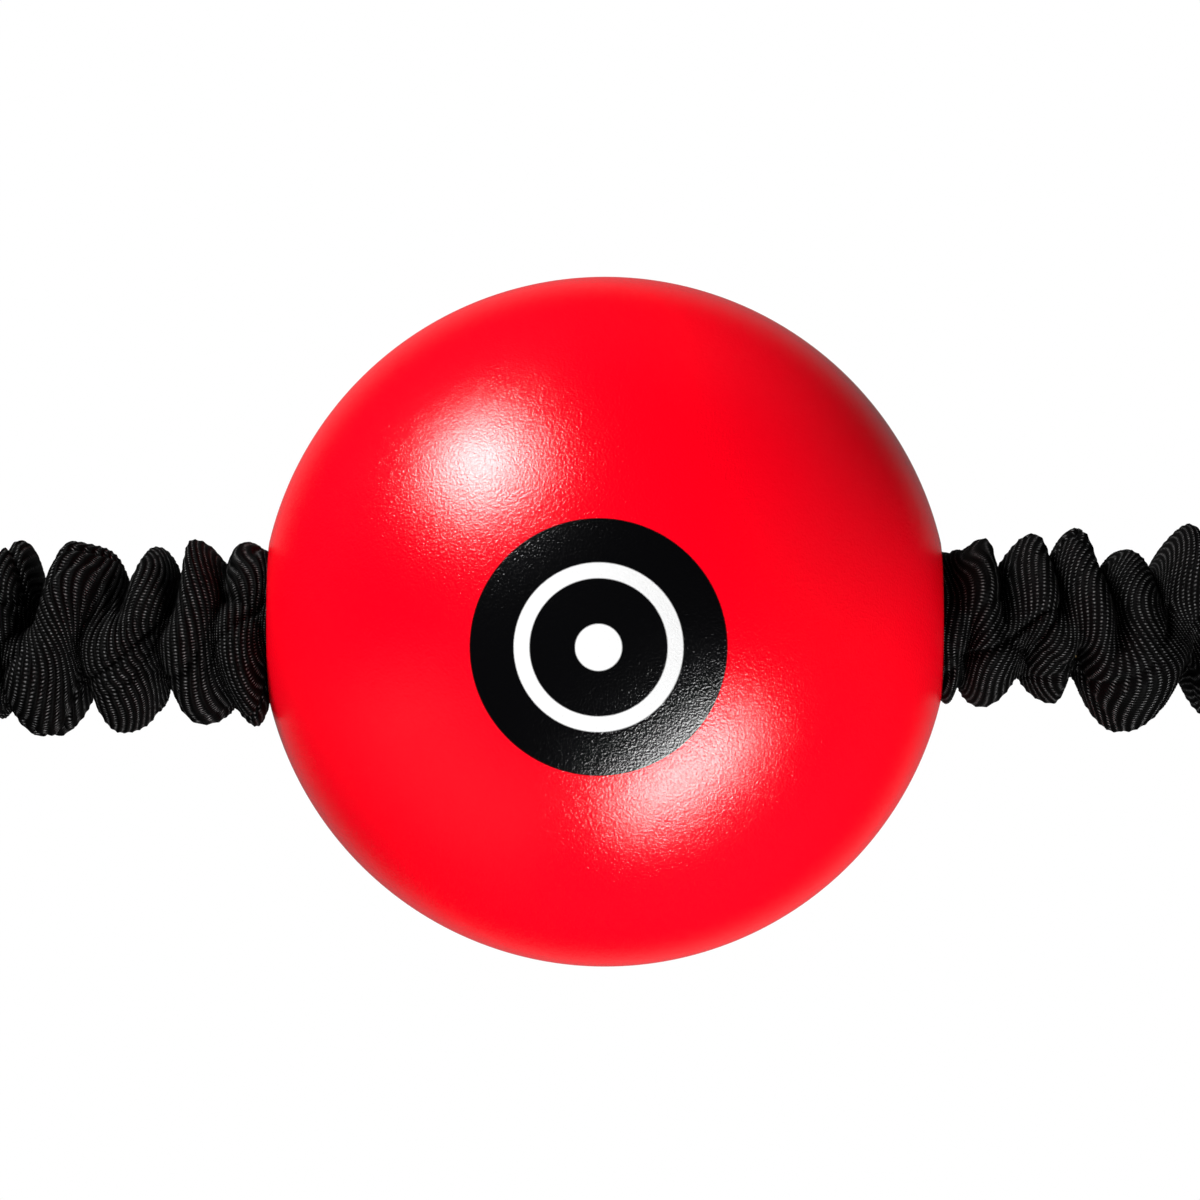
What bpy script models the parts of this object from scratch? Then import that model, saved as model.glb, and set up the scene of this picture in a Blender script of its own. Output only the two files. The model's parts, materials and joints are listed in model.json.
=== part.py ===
"""A reflex ball headband: a moulded ball on two elastic tethers with gathered sleeves, clipped to the
temples of a padded headband that closes at the back of the head. It lies on a table, mark side up."""

import math

import bmesh
import bpy
from mathutils import Matrix, Vector

MM = 0.001
GAP = 0.3 * MM  # between two pieces that rest on each other
RUNNING_GAP = 0.3 * MM  # between two pieces that turn in each other

# The footprint on the table, from the front of the ball to the back of the headband
HALF_LENGTH = 200 * MM

# The ball
BALL_RADIUS = 32.5 * MM
SKIN = 2.5 * MM
MOUTH_RADIUS = 7.2 * MM  # the hole at each pole, which the sleeve fills
LINER_WALL = 1.0 * MM
LINER_RADIUS = 10.4 * MM
LINER_INSET = 8.5 * MM  # how far each of the liner's ends is inside the ball's surface
LINER_HALF = BALL_RADIUS - LINER_INSET
BUSH_INSIDE = 3.5 * MM  # how far a bush reaches into the liner
BUSH_FLANGE = 3.2 * MM

# The tethers
ELASTIC_RADIUS = 3.2 * MM
SLEEVE_RADIUS = 8.6 * MM  # over the gathers
SLEEVE_END_RADIUS = MOUTH_RADIUS - RUNNING_GAP
SLEEVE_WALL = 1.6 * MM  # where the sleeve is clamped flat at its ends
COLLAR_FLANGE = 3.6 * MM
COLLAR_NECK = 9.5 * MM
FERRULE_WALL = 1.5 * MM
FERRULE_LENGTH = 8 * MM

# The headband, an oval round the head, measured to the middle of its padding
BAND_HALF_WIDTH = 74 * MM
BAND_HALF_LENGTH = 86 * MM
BAND_HEIGHT = 50 * MM
PAD_THICKNESS = 4 * MM
CLOTH = 1.0 * MM
BINDING = 0.9 * MM
BINDING_LAP = 5 * MM
BAND_END = 142  # degrees round from the forehead, both ways
GRIP_THICKNESS = 0.8 * MM
GRIP_WIDTH = 3 * MM
GRIP_SPACING = 9 * MM
GRIP_END = 64

# The closure at the back
STRAP = 1.8 * MM
STRAP_HEIGHT = 36 * MM
STRAP_START = 133
STRAP_STEP = 151  # where the strap has come in to the middle of the padding
STRAP_END = 210
TAB = 1.5 * MM
TAB_HEIGHT = 30 * MM
TAB_START = 227
TAB_HINGE = 212
TAB_END = 162
PATCH = 1.0 * MM
LOOP_PATCH = (158, 207)
HOOK_PATCH = (168, 205)
TIP_LAP = 5 * MM
TIP_WALL = 1.0 * MM
TIP_GRIP = 7 * MM

# The D-rings and the tabs that hold them
RING_TURN = 70  # degrees round from the forehead
RING_YAW = math.radians(12)  # how far each ring and clasp points outwards
RING_WIRE = 1.3 * MM
RING_RADIUS = 9 * MM
RING_DEPTH = 4 * MM  # from the bar to the middle of the arc
WEBBING = 1.2 * MM
RING_TAB_WIDTH = 15 * MM
RING_TAB_LENGTH = 24 * MM

# The clasps, measured along their own length from the middle of the D-ring's arc
CLASP_PITCH = math.radians(8)  # how far each one hangs below level
HOOK_WIRE = 1.4 * MM
HOOK_THROAT = 4.0 * MM  # half the gap inside the hook
HOOK_TIP_LENGTH = 1.5 * MM
HOOK_SLACK = 1.3 * MM  # between the hook and the ring, so that the ring can flip and the clasp can swing
SHOULDER = 21 * MM
SHOULDER_LENGTH = 5 * MM
SHOULDER_HALF = 6.5 * MM
SHOULDER_THICKNESS = 6.6 * MM
BARREL_RADIUS = 3.4 * MM
BARREL_END = 31 * MM
POST_RADIUS = 1.6 * MM
POST_HEAD = 2.3 * MM
POST_HEAD_LENGTH = 1.4 * MM
GATE_THICKNESS = 2.6 * MM
GATE_WIDTH = 2.4 * MM
GATE_PIVOT = (4.7 * MM, 23.6 * MM)
PIN_RADIUS = 0.8 * MM
EYE_WIRE = 1.2 * MM
EYE_NEAR = 33.2 * MM
EYE_FAR = 39 * MM
LOOP_WIDTH = 14 * MM
LOOP_TAIL = 54.5 * MM
CUFF_START = 47 * MM
CUFF_END = 75 * MM
CUFF_RADIUS = 8.7 * MM
CUFF_FLAT_HALF = 3.6 * MM
CUFF_SLEEVE_POCKET = 9 * MM

# The right tether's route between the cuff and the ball, points chosen by hand, and the left one's mirrored
TETHER_ROUTE = [
    Vector((0.0960, -0.0180, 0.0122)),
    Vector((0.1010, -0.0400, 0.0099)),
    Vector((0.1055, -0.0630, 0.0093)),
    Vector((0.1080, -0.0860, 0.0093)),
    Vector((0.1070, -0.1090, 0.0108)),
    Vector((0.1012, -0.1310, 0.0146)),
    Vector((0.0915, -0.1488, 0.0198)),
    Vector((0.0770, -0.1617, 0.0252)),
    Vector((0.0655, -0.1668, 0.0285)),
    Vector((0.0560, -0.1686, 0.0305)),
    Vector((0.0470, -0.1686, 0.0318)),
    Vector((0.0390, -0.1683, 0.0323)),
]

BALL_CENTRE = Vector((0, BALL_RADIUS - HALF_LENGTH, BALL_RADIUS))
MOUTH_X = math.sqrt(BALL_RADIUS**2 - MOUTH_RADIUS**2)

# How far each layer of the headband lies from the middle of the padding
PAD_INNER, PAD_OUTER = -PAD_THICKNESS / 2, PAD_THICKNESS / 2
LINER_INNER = PAD_INNER - GAP - CLOTH
SHELL_OUTER = PAD_OUTER + GAP + CLOTH
STRAP_OUTER = STRAP / 2
LOOP_PATCH_INNER = STRAP_OUTER + GAP
HOOK_PATCH_INNER = LOOP_PATCH_INNER + PATCH + GAP
TAB_INNER = HOOK_PATCH_INNER + PATCH + GAP
TAB_OUTER = TAB_INNER + TAB
BAND_BACK = BAND_HALF_LENGTH + TAB_OUTER
BAND_CENTRE = Vector((0, HALF_LENGTH - BAND_BACK, 0))

SIDES = {"left": -1, "right": 1}


# Materials


def material(name, colour, roughness, metallic=0.0):
    """A plain Principled material, made once."""
    if name in bpy.data.materials:
        return bpy.data.materials[name]
    made = bpy.data.materials.new(name)
    made.use_nodes = True
    shader = made.node_tree.nodes["Principled BSDF"]
    shader.inputs["Base Color"].default_value = (*colour, 1)
    shader.inputs["Roughness"].default_value = roughness
    shader.inputs["Metallic"].default_value = metallic
    return made


def red_skin():
    return material("red_skin", (0.80, 0.01, 0.015), 0.28)


def white_foam():
    return material("white_foam", (0.75, 0.73, 0.68), 0.9)


def white_nylon():
    return material("white_nylon", (0.72, 0.72, 0.70), 0.45)


def black_sleeve():
    return material("black_sleeve", (0.012, 0.012, 0.013), 0.75)


def latex():
    return material("latex", (0.55, 0.42, 0.22), 0.5)


def black_cloth():
    return material("black_cloth", (0.015, 0.015, 0.017), 0.9)


def hook_nylon():
    return material("hook_nylon", (0.02, 0.02, 0.021), 0.5)


def black_rubber():
    return material("black_rubber", (0.02, 0.02, 0.02), 0.6)


def grey_foam():
    return material("grey_foam", (0.12, 0.12, 0.13), 0.95)


def black_webbing():
    return material("black_webbing", (0.014, 0.014, 0.015), 0.8)


def silicone():
    return material("silicone", (0.45, 0.02, 0.02), 0.4)


def steel():
    return material("steel", (0.62, 0.62, 0.64), 0.22, 1.0)


# Shapes


def frame(name, location, rotation=None):
    """An empty that pieces are parented to."""
    empty = bpy.data.objects.new(name, None)
    bpy.context.scene.collection.objects.link(empty)
    empty.location = location
    if rotation is not None:
        empty.rotation_euler = rotation.to_euler()
    return empty


def solid(name, mesh, finish, parent=None, at=(0, 0, 0)):
    """An object of this mesh, with its normals out and its round faces smooth."""
    shape = bmesh.new()
    shape.from_mesh(mesh)
    bmesh.ops.recalc_face_normals(shape, faces=shape.faces)
    shape.to_mesh(mesh)
    shape.free()
    mesh.shade_smooth()
    mesh.set_sharp_from_angle(angle=math.radians(35))
    made = bpy.data.objects.new(name, mesh)
    bpy.context.scene.collection.objects.link(made)
    made.location = at
    made.parent = parent
    if finish is not None:
        mesh.materials.clear()
        mesh.materials.append(finish)
    return made


def loft(name, loops, finish, parent=None, at=(0, 0, 0), ring=False):
    """A solid through loops of points, capped at both ends, or joined end to start if ring is set."""
    count = len(loops[0])
    points = [point for loop in loops for point in loop]
    faces = []
    for i in range(len(loops) if ring else len(loops) - 1):
        here, there = i * count, (i + 1) % len(loops) * count
        for j in range(count):
            k = (j + 1) % count
            faces.append((here + j, here + k, there + k, there + j))
    if not ring:
        faces.append(tuple(range(count)))
        faces.append(tuple(range(len(points) - count, len(points))))
    mesh = bpy.data.meshes.new(name)
    mesh.from_pydata(points, [], faces)
    return solid(name, mesh, finish, parent, at)


def turned(name, profile, steps, finish, parent=None, at=(0, 0, 0)):
    """A ring turned about its own X axis from a closed profile of (x, radius)."""
    loops = []
    for step in range(steps):
        angle = math.tau * step / steps
        loops.append([(x, r * math.cos(angle), r * math.sin(angle)) for x, r in profile])
    return loft(name, loops, finish, parent, at, ring=True)


def arc(centre, radius, start, end, steps):
    """Points (x, y) on an arc, angles in degrees, both ends included."""
    points = []
    for step in range(steps + 1):
        angle = math.radians(start + (end - start) * step / steps)
        points.append((centre[0] + radius * math.cos(angle), centre[1] + radius * math.sin(angle)))
    return points


def rod(name, radius, start, end, sides, finish, parent=None):
    """A cylinder between two points."""
    start, end = Vector(start), Vector(end)
    turn = (end - start).to_track_quat("Z", "Y").to_matrix()
    loops = []
    for middle in (start, end):
        corners = [Vector((*xy, 0)) for xy in arc((0, 0), radius, 0, 360 - 360 / sides, sides - 1)]
        loops.append([middle + turn @ corner for corner in corners])
    return loft(name, loops, finish, parent)


def block(name, corner, opposite, parent):
    """A box between two opposite corners, for a Boolean."""
    (left, right), (near, far), heights = [sorted(pair) for pair in zip(corner, opposite, strict=True)]
    loops = []
    for z in heights:
        loops.append([(left, near, z), (right, near, z), (right, far, z), (left, far, z)])
    return loft(name, loops, None, parent)


def wire(name, route, radius, finish, parent=None, at=(0, 0, 0), resolution=2, closed=False):
    """A round wire or cord: a poly curve with a bevel and filled caps."""
    curve = bpy.data.curves.new(name, "CURVE")
    curve.dimensions = "3D"
    curve.bevel_depth = radius
    curve.bevel_resolution = resolution
    curve.use_fill_caps = True
    spline = curve.splines.new("POLY")
    spline.points.add(len(route) - 1)
    for place, point in zip(spline.points, route, strict=True):
        place.co = (*point, 1)
    spline.use_cyclic_u = closed
    made = bpy.data.objects.new(name, curve)
    bpy.context.scene.collection.objects.link(made)
    made.location = at
    made.parent = parent
    curve.materials.append(finish)
    return made


def as_mesh(curve_object):
    """The same piece as a mesh, for a Boolean, with the curve removed."""
    name, parent, place = curve_object.name, curve_object.parent, curve_object.location.copy()
    finish = curve_object.data.materials[0]
    mesh = bpy.data.meshes.new_from_object(curve_object)
    bpy.data.objects.remove(curve_object)
    return solid(name, mesh, finish, parent, place)


def combine(piece, other, operation):
    """Cuts a helper from a piece, or joins it on, and keeps the helper out of the render."""
    boolean = piece.modifiers.new(operation.lower() + "_" + other.name, "BOOLEAN")
    boolean.operation = operation
    boolean.object = other
    other.hide_render = True
    other.display_type = "WIRE"
    return piece


# The ball, about its own centre, with its poles along X


def sphere_profile(outer, inner, bore, steps):
    """Half the section of a hollow ball with a hole of radius bore through both poles."""
    points = []
    for radius, sign, count in ((outer, 1, steps), (inner, -1, 10)):
        if radius:
            first = math.degrees(math.asin(bore / radius))
            points += arc((0, 0), radius, 90 - sign * (90 - first), 90 + sign * (90 - first), count)
    return points


def make_ball(centre):
    profile = sphere_profile(BALL_RADIUS, BALL_RADIUS - SKIN, MOUTH_RADIUS, 14)
    turned("ball_skin", profile, 28, red_skin(), centre)
    core_radius = BALL_RADIUS - SKIN - 2 * GAP
    bore = LINER_RADIUS + GAP
    end = math.sqrt(core_radius**2 - bore**2)
    profile = sphere_profile(core_radius, 0, bore, 10)
    turned("foam_core", profile, 28, white_foam(), centre)
    inside = LINER_RADIUS - LINER_WALL
    half = LINER_HALF
    turned(
        "core_tube",
        [(-half, inside), (half, inside), (half, LINER_RADIUS), (-half, LINER_RADIUS)],
        24,
        white_nylon(),
        centre,
    )
    face = half + GAP
    flange = min(BUSH_FLANGE, end - face)
    for side, sign in SIDES.items():
        profile = [
            (sign * (half - BUSH_INSIDE), MOUTH_RADIUS),
            (sign * (half - BUSH_INSIDE), inside - GAP),
            (sign * face, inside - GAP),
            (sign * face, LINER_RADIUS),
            (sign * (face + flange), LINER_RADIUS),
            (sign * (face + flange), MOUTH_RADIUS),
        ]
        turned(side + "_bush", profile, 20, white_nylon(), centre)


COLLAR_FACE = LINER_HALF - BUSH_INSIDE - RUNNING_GAP  # the flange's face that bears on the bush
COLLAR_BACK = COLLAR_FACE - COLLAR_FLANGE
FERRULE_FACE = COLLAR_BACK - GAP
SLEEVE_BALL_END = COLLAR_FACE + GAP


def ferrule_profile(start, end):
    inner = ELASTIC_RADIUS + GAP
    outer = inner + FERRULE_WALL
    return [(start, inner), (end, inner), (end, outer), (start, outer)]


def make_ball_axle(centre):
    """What stays still while the ball turns: a collar in each sleeve's end and a crimp behind it."""
    hole = ELASTIC_RADIUS + GAP
    neck = SLEEVE_END_RADIUS - SLEEVE_WALL - GAP
    flange = LINER_RADIUS - LINER_WALL - RUNNING_GAP
    for side, sign in SIDES.items():
        profile = [
            (sign * COLLAR_BACK, hole),
            (sign * COLLAR_BACK, flange),
            (sign * COLLAR_FACE, flange),
            (sign * COLLAR_FACE, neck),
            (sign * (COLLAR_FACE + COLLAR_NECK), neck),
            (sign * (COLLAR_FACE + COLLAR_NECK), hole),
        ]
        turned(side + "_collar", profile, 20, white_nylon(), centre)
        profile = ferrule_profile(sign * (FERRULE_FACE - FERRULE_LENGTH), sign * FERRULE_FACE)
        turned(side + "_ball_ferrule", profile, 16, steel(), centre)


# The headband, about the middle of its oval


def band_point(turn, offset, z=0.0):
    """The point this many degrees round the oval from the forehead, and this far outside its middle line."""
    sine, cosine = math.sin(math.radians(turn)), math.cos(math.radians(turn))
    outward = Vector((BAND_HALF_LENGTH * sine, -BAND_HALF_WIDTH * cosine, 0)).normalized()
    return Vector((BAND_HALF_WIDTH * sine, -BAND_HALF_LENGTH * cosine, z)) + offset * outward


def turns_between(start, end, step=7.5):
    count = max(2, math.ceil(abs(end - start) / step))
    return [start + (end - start) * i / count for i in range(count + 1)]


def band_strip(name, turns, section, finish, parent, origin=(0, 0, 0)):
    """A strip round the band. section(turn) gives its closed outline as (offset, z)."""
    origin = Vector(origin)
    loops = []
    for turn in turns:
        loops.append([band_point(turn, offset, z) - origin for offset, z in section(turn)])
    return loft(name, loops, finish, parent, origin)


def rectangle(inner, outer, low, high):
    return lambda turn: [(inner, low), (outer, low), (outer, high), (inner, high)]


def make_padding(band):
    turns = turns_between(-BAND_END, BAND_END)
    low = BINDING_LAP - 2 * MM
    high = BAND_HEIGHT - low
    finish = black_cloth()
    band_strip("sweat_liner", turns, rectangle(LINER_INNER, PAD_INNER - GAP, low, high), finish, band)
    band_strip("foam_pad", turns, rectangle(PAD_INNER, PAD_OUTER, low, high), grey_foam(), band)
    band_strip("outer_shell", turns, rectangle(PAD_OUTER + GAP, SHELL_OUTER, low, high), finish, band)
    near, far = LINER_INNER - GAP, SHELL_OUTER + GAP
    for name, edge, way in (("bottom_binding", 0, 1), ("top_binding", BAND_HEIGHT, -1)):
        lap = edge + way * BINDING_LAP
        fold = edge + way * (low - GAP)
        outline = [
            (near - BINDING, lap),
            (near - BINDING, edge),
            (far + BINDING, edge),
            (far + BINDING, lap),
            (far, lap),
            (far, fold),
            (near, fold),
            (near, lap),
        ]
        band_strip(name, turns, lambda turn, outline=outline: outline, black_webbing(), band)


def make_grips(band):
    face = LINER_INNER - GAP
    for name, row in (("bottom_grip", -1), ("middle_grip", 0), ("top_grip", 1)):
        low = BAND_HEIGHT / 2 + row * GRIP_SPACING - GRIP_WIDTH / 2
        section = rectangle(face - GRIP_THICKNESS, face, low, low + GRIP_WIDTH)
        band_strip(name, turns_between(-GRIP_END, GRIP_END), section, silicone(), band)


def eased(value, start, end):
    share = min(1.0, max(0.0, (value - start) / (end - start)))
    return share * share * (3 - 2 * share)


def make_closure(band):
    """The elastic strap from the right end passes behind the head, and the left end's tab sticks to it."""
    low = (BAND_HEIGHT - STRAP_HEIGHT) / 2
    on_band = SHELL_OUTER + GAP

    def strap(turn):
        inner = on_band + (-STRAP / 2 - on_band) * eased(turn, BAND_END + 1, STRAP_STEP)
        return rectangle(inner, inner + STRAP, low, BAND_HEIGHT - low)(turn)

    turns = turns_between(STRAP_START, BAND_END, 4.5)
    turns += turns_between(BAND_END + 1, STRAP_STEP, 2.0) + turns_between(STRAP_STEP + 3, STRAP_END)
    band_strip("rear_strap", turns, strap, black_webbing(), band)
    low = (BAND_HEIGHT - TAB_HEIGHT) / 2
    high = BAND_HEIGHT - low
    margin = 1.5 * MM
    patch = rectangle(LOOP_PATCH_INNER, LOOP_PATCH_INNER + PATCH, low - margin, high + margin)
    band_strip("loop_patch", turns_between(*LOOP_PATCH), patch, black_cloth(), band)
    root = rectangle(TAB_INNER, TAB_OUTER, low, high)
    gap = math.degrees(GAP / BAND_HALF_WIDTH)
    band_strip("tab_root", turns_between(TAB_START, TAB_HINGE + gap, 5), root, black_webbing(), band)
    hinge = band_point(TAB_HINGE, TAB_OUTER)
    band_strip("closure_tab", turns_between(TAB_HINGE, TAB_END), root, black_webbing(), band, hinge)
    patch = rectangle(HOOK_PATCH_INNER, HOOK_PATCH_INNER + PATCH, low + margin, high - margin)
    band_strip("hook_patch", turns_between(*HOOK_PATCH), patch, hook_nylon(), band, hinge)
    make_pull_tip(band, hinge, low, high)


def make_pull_tip(band, hinge, low, high):
    """The moulded grip that is pressed over the tab's free end."""
    per_degree = math.radians(1) * BAND_HALF_WIDTH
    start = TAB_END + TIP_LAP / per_degree
    end = TAB_END - TIP_GRIP / per_degree
    wall = TIP_WALL + GAP

    def outside(turn):
        thin = eased(turn, TAB_END, end) * TIP_WALL * 0.9
        return rectangle(TAB_INNER - wall + thin, TAB_OUTER + wall - thin, low - wall, high + wall)(turn)

    tip = band_strip("pull_tip", turns_between(start, end, 2), outside, black_rubber(), band, hinge)
    inside = rectangle(TAB_INNER - GAP, TAB_OUTER + GAP, low - GAP, high + GAP)
    past = TAB_END - GAP / per_degree
    pocket = band_strip("pull_tip_pocket", turns_between(start + 2, past, 2), inside, None, band, hinge)
    combine(tip, pocket, "DIFFERENCE")


# The D-rings and their tabs. Each side is built for the right and mirrored by its sign


def mirrored(points, sign):
    return [Vector((sign * p[0], *p[1:])) for p in points]


RING_BAR_OFFSET = SHELL_OUTER + GAP + WEBBING + GAP + RING_WIRE


def make_ring_tab(side, sign, band):
    """Webbing folded round the ring's bar and sewn down behind it."""
    under = SHELL_OUTER + GAP + WEBBING / 2
    over = under + WEBBING + GAP
    fold = RING_WIRE + GAP + WEBBING / 2
    per_degree = math.radians(1) * BAND_HALF_LENGTH
    path = [(RING_TAB_LENGTH, under), (RING_TAB_LENGTH / 2, under)]
    path += [(-x, y) for x, y in arc((0, RING_BAR_OFFSET), fold, -90, 90, 8)]
    path += [(0.22 * RING_TAB_LENGTH, over + 0.55 * (RING_BAR_OFFSET + fold - over))]
    path += [(0.40 * RING_TAB_LENGTH, over), (RING_TAB_LENGTH, over)]
    points = [band_point(RING_TURN + back / per_degree, offset) for back, offset in path]
    low = (BAND_HEIGHT - RING_TAB_WIDTH) / 2
    up = Vector((0, 0, 1))
    high = low + RING_TAB_WIDTH
    ribbon(side + "_ring_tab", mirrored(points, sign), up, low, high, WEBBING, band)


def ribbon(name, path, across, low, high, thickness, parent):
    """Flat webbing along a path, lying from low to high along the direction across."""
    loops = []
    for i, point in enumerate(path):
        before, after = path[max(i - 1, 0)], path[min(i + 1, len(path) - 1)]
        normal = (after - before).cross(across).normalized() * (thickness / 2)
        loops.append(
            [
                point - normal + across * low,
                point + normal + across * low,
                point + normal + across * high,
                point - normal + across * high,
            ]
        )
    return loft(name, loops, black_webbing(), parent)


def ring_bar():
    """The middle of the right D-ring's bar, in the headband's own frame."""
    return band_point(RING_TURN, RING_BAR_OFFSET, BAND_HEIGHT / 2)


def make_ring(side, sign, band):
    outline = [(0, RING_RADIUS)] + arc((RING_DEPTH, 0), RING_RADIUS, 90, -90, 12) + [(0, -RING_RADIUS)]
    yaw = Matrix.Rotation(RING_YAW, 3, "Z")
    route = mirrored([yaw @ Vector((0, -ahead, up)) for ahead, up in outline], sign)
    place = mirrored([ring_bar()], sign)[0]
    wire(side + "_d_ring", route, RING_WIRE, steel(), band, place, closed=True)


# The clasps, in a frame at the middle of each ring's arc. The clasp runs along -Y, and is flat in XY


def clasp_frame(side, sign):
    ahead = Matrix.Rotation(RING_YAW, 3, "Z") @ Vector((0, -RING_DEPTH, 0))
    place = mirrored([BAND_CENTRE + ring_bar() + ahead], sign)[0]
    turn = Matrix.Rotation(CLASP_PITCH, 3, "X") @ Matrix.Rotation(sign * RING_YAW, 3, "Z")
    return frame(side + "_clasp_frame", place, turn)


def along(x, distance, z=0.0):
    """A point of the clasp, distance along it from the ring."""
    return Vector((x, -distance, z))


HOOK_SPAN = HOOK_THROAT + HOOK_WIRE
HOOK_BEND = RING_RADIUS - RING_WIRE - HOOK_SLACK + HOOK_THROAT  # the middle of the hook's bend
HEAD_SEAT = SHOULDER + POST_HEAD_LENGTH  # the post's head turns in a recess in the shoulder


def make_clasp_body(side, sign, clasp):
    """The hook, with its shoulder and barrel, all cast in one."""
    bend = [along(-x, d) for x, d in arc((0, HOOK_BEND), HOOK_SPAN, 0, -180, 8)]
    middle = SHOULDER + SHOULDER_LENGTH / 2
    route = [along(HOOK_SPAN, HOOK_BEND + HOOK_TIP_LENGTH), *reversed(bend), along(-HOOK_SPAN, middle)]
    hook = as_mesh(wire(side + "_clasp_body", mirrored(route, sign), HOOK_WIRE, steel(), clasp))
    half = SHOULDER_THICKNESS / 2
    corners = along(-SHOULDER_HALF, SHOULDER + SHOULDER_LENGTH, -half), along(SHOULDER_HALF, SHOULDER, half)
    combine(hook, block(side + "_clasp_shoulder", *corners, clasp), "UNION")
    ends = along(0, SHOULDER + 0.5 * MM), along(0, BARREL_END)
    combine(hook, rod(side + "_clasp_barrel", BARREL_RADIUS, *ends, 16, None, clasp), "UNION")
    cut_for_post(hook, side, clasp)
    cut_for_gate(hook, side, sign, clasp)


def cut_for_post(hook, side, clasp):
    """The bore that the swivel's post runs through, and the recess for its head."""
    ends = along(0, SHOULDER - MM), along(0, BARREL_END + MM)
    combine(hook, rod(side + "_post_bore", POST_RADIUS + RUNNING_GAP, *ends, 16, None, clasp), "DIFFERENCE")
    ends = along(0, SHOULDER - MM), along(0, HEAD_SEAT + RUNNING_GAP)
    combine(hook, rod(side + "_head_recess", POST_HEAD + RUNNING_GAP, *ends, 20, None, clasp), "DIFFERENCE")


def cut_for_gate(hook, side, sign, clasp):
    """The slot that the gate swings in, and the bore for its pin."""
    inner = sign * (POST_RADIUS + RUNNING_GAP + 0.5 * MM)
    outer = sign * (SHOULDER_HALF + MM)
    half = GATE_THICKNESS / 2 + RUNNING_GAP
    corners = along(inner, SHOULDER + SHOULDER_LENGTH + MM, -half), along(outer, SHOULDER - MM, half)
    combine(hook, block(side + "_gate_slot", *corners, clasp), "DIFFERENCE")
    x, pivot = sign * GATE_PIVOT[0], GATE_PIVOT[1]
    ends = along(x, pivot, -SHOULDER_THICKNESS), along(x, pivot, SHOULDER_THICKNESS)
    combine(hook, rod(side + "_pin_bore", PIN_RADIUS + GAP, *ends, 12, None, clasp), "DIFFERENCE")


def make_gate(side, sign, clasp):
    """A flat lever from the pivot to the hook's nose, with a thumb piece that stands outwards."""
    pivot_x, pivot = GATE_PIVOT
    nose = HOOK_BEND + HOOK_TIP_LENGTH + GAP
    half = GATE_WIDTH / 2
    boss = half + 0.9 * MM
    outline = [(HOOK_SPAN - half, nose), (HOOK_SPAN + half, nose)]
    outline += [(HOOK_SPAN + half, SHOULDER - 3.4 * MM), (HOOK_SPAN + half + 1.6 * MM, SHOULDER - 1.6 * MM)]
    outline += [(HOOK_SPAN + half + 1.8 * MM, SHOULDER + 0.2 * MM), (HOOK_SPAN + half, SHOULDER + 0.9 * MM)]
    outline += arc((pivot_x, pivot), boss, 10, 170, 7)
    outline += [(HOOK_SPAN - half, SHOULDER + 0.2 * MM)]
    place = along(sign * pivot_x, pivot)
    loops = []
    for z in (-GATE_THICKNESS / 2, GATE_THICKNESS / 2):
        loops.append([point - place for point in mirrored([along(x, d, z) for x, d in outline], sign)])
    gate = loft(side + "_clasp_gate", loops, steel(), clasp, place)
    ends = along(sign * pivot_x, pivot, -GATE_THICKNESS), along(sign * pivot_x, pivot, GATE_THICKNESS)
    combine(gate, rod(side + "_gate_bore", PIN_RADIUS + GAP, *ends, 12, None, clasp), "DIFFERENCE")
    half = SHOULDER_THICKNESS / 2 + 0.4 * MM
    ends = along(sign * pivot_x, pivot, -half), along(sign * pivot_x, pivot, half)
    rod(side + "_gate_pin", PIN_RADIUS, *ends, 12, steel(), clasp)


def make_swivel(side, clasp):
    """The eye turns in the barrel on its post, which is headed over inside the hook."""
    half = LOOP_WIDTH / 2 + 0.4 * MM + EYE_WIRE
    bend = 1.6 * MM
    outline = arc((half - bend, EYE_FAR - bend), bend, 0, 90, 3)
    outline += arc((bend - half, EYE_FAR - bend), bend, 90, 180, 3)
    outline += arc((bend - half, EYE_NEAR + bend), bend, 180, 270, 3)
    outline += arc((half - bend, EYE_NEAR + bend), bend, 270, 360, 3)
    route = [along(x, d) for x, d in outline]
    eye = as_mesh(wire(side + "_swivel_eye", route, EYE_WIRE, steel(), clasp, closed=True))
    ends = along(0, HEAD_SEAT - POST_HEAD_LENGTH / 2), along(0, EYE_NEAR)
    combine(eye, rod(side + "_swivel_post", POST_RADIUS, *ends, 16, None, clasp), "UNION")
    ends = along(0, HEAD_SEAT - POST_HEAD_LENGTH), along(0, HEAD_SEAT)
    combine(eye, rod(side + "_post_head", POST_HEAD, *ends, 16, None, clasp), "UNION")


def make_webbing_loop(side, clasp):
    """The webbing that is sewn into the cuff and folded round the far bar of the eye."""
    fold = EYE_WIRE + GAP + WEBBING / 2
    apart = (WEBBING + GAP) / 2
    outline = [(LOOP_TAIL, apart), (EYE_FAR + 6 * MM, apart), (EYE_FAR + 2.5 * MM, 0.75 * fold)]
    for a in turns_between(0.15, math.pi - 0.15, 0.35):
        outline.append((EYE_FAR - fold * math.sin(a), fold * math.cos(a)))
    outline += [(EYE_FAR + 2.5 * MM, -0.75 * fold), (EYE_FAR + 6 * MM, -apart), (LOOP_TAIL, -apart)]
    path = [along(0, d, z) for d, z in outline]
    half = LOOP_WIDTH / 2
    ribbon(side + "_webbing_loop", path, Vector((1, 0, 0)), -half, half, WEBBING, clasp)


FERRULE_START = LOOP_TAIL + 2.5 * MM
SLEEVE_POCKET = CUFF_END - CUFF_SLEEVE_POCKET
SLEEVE_CUFF_END = SLEEVE_POCKET + GAP


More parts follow.
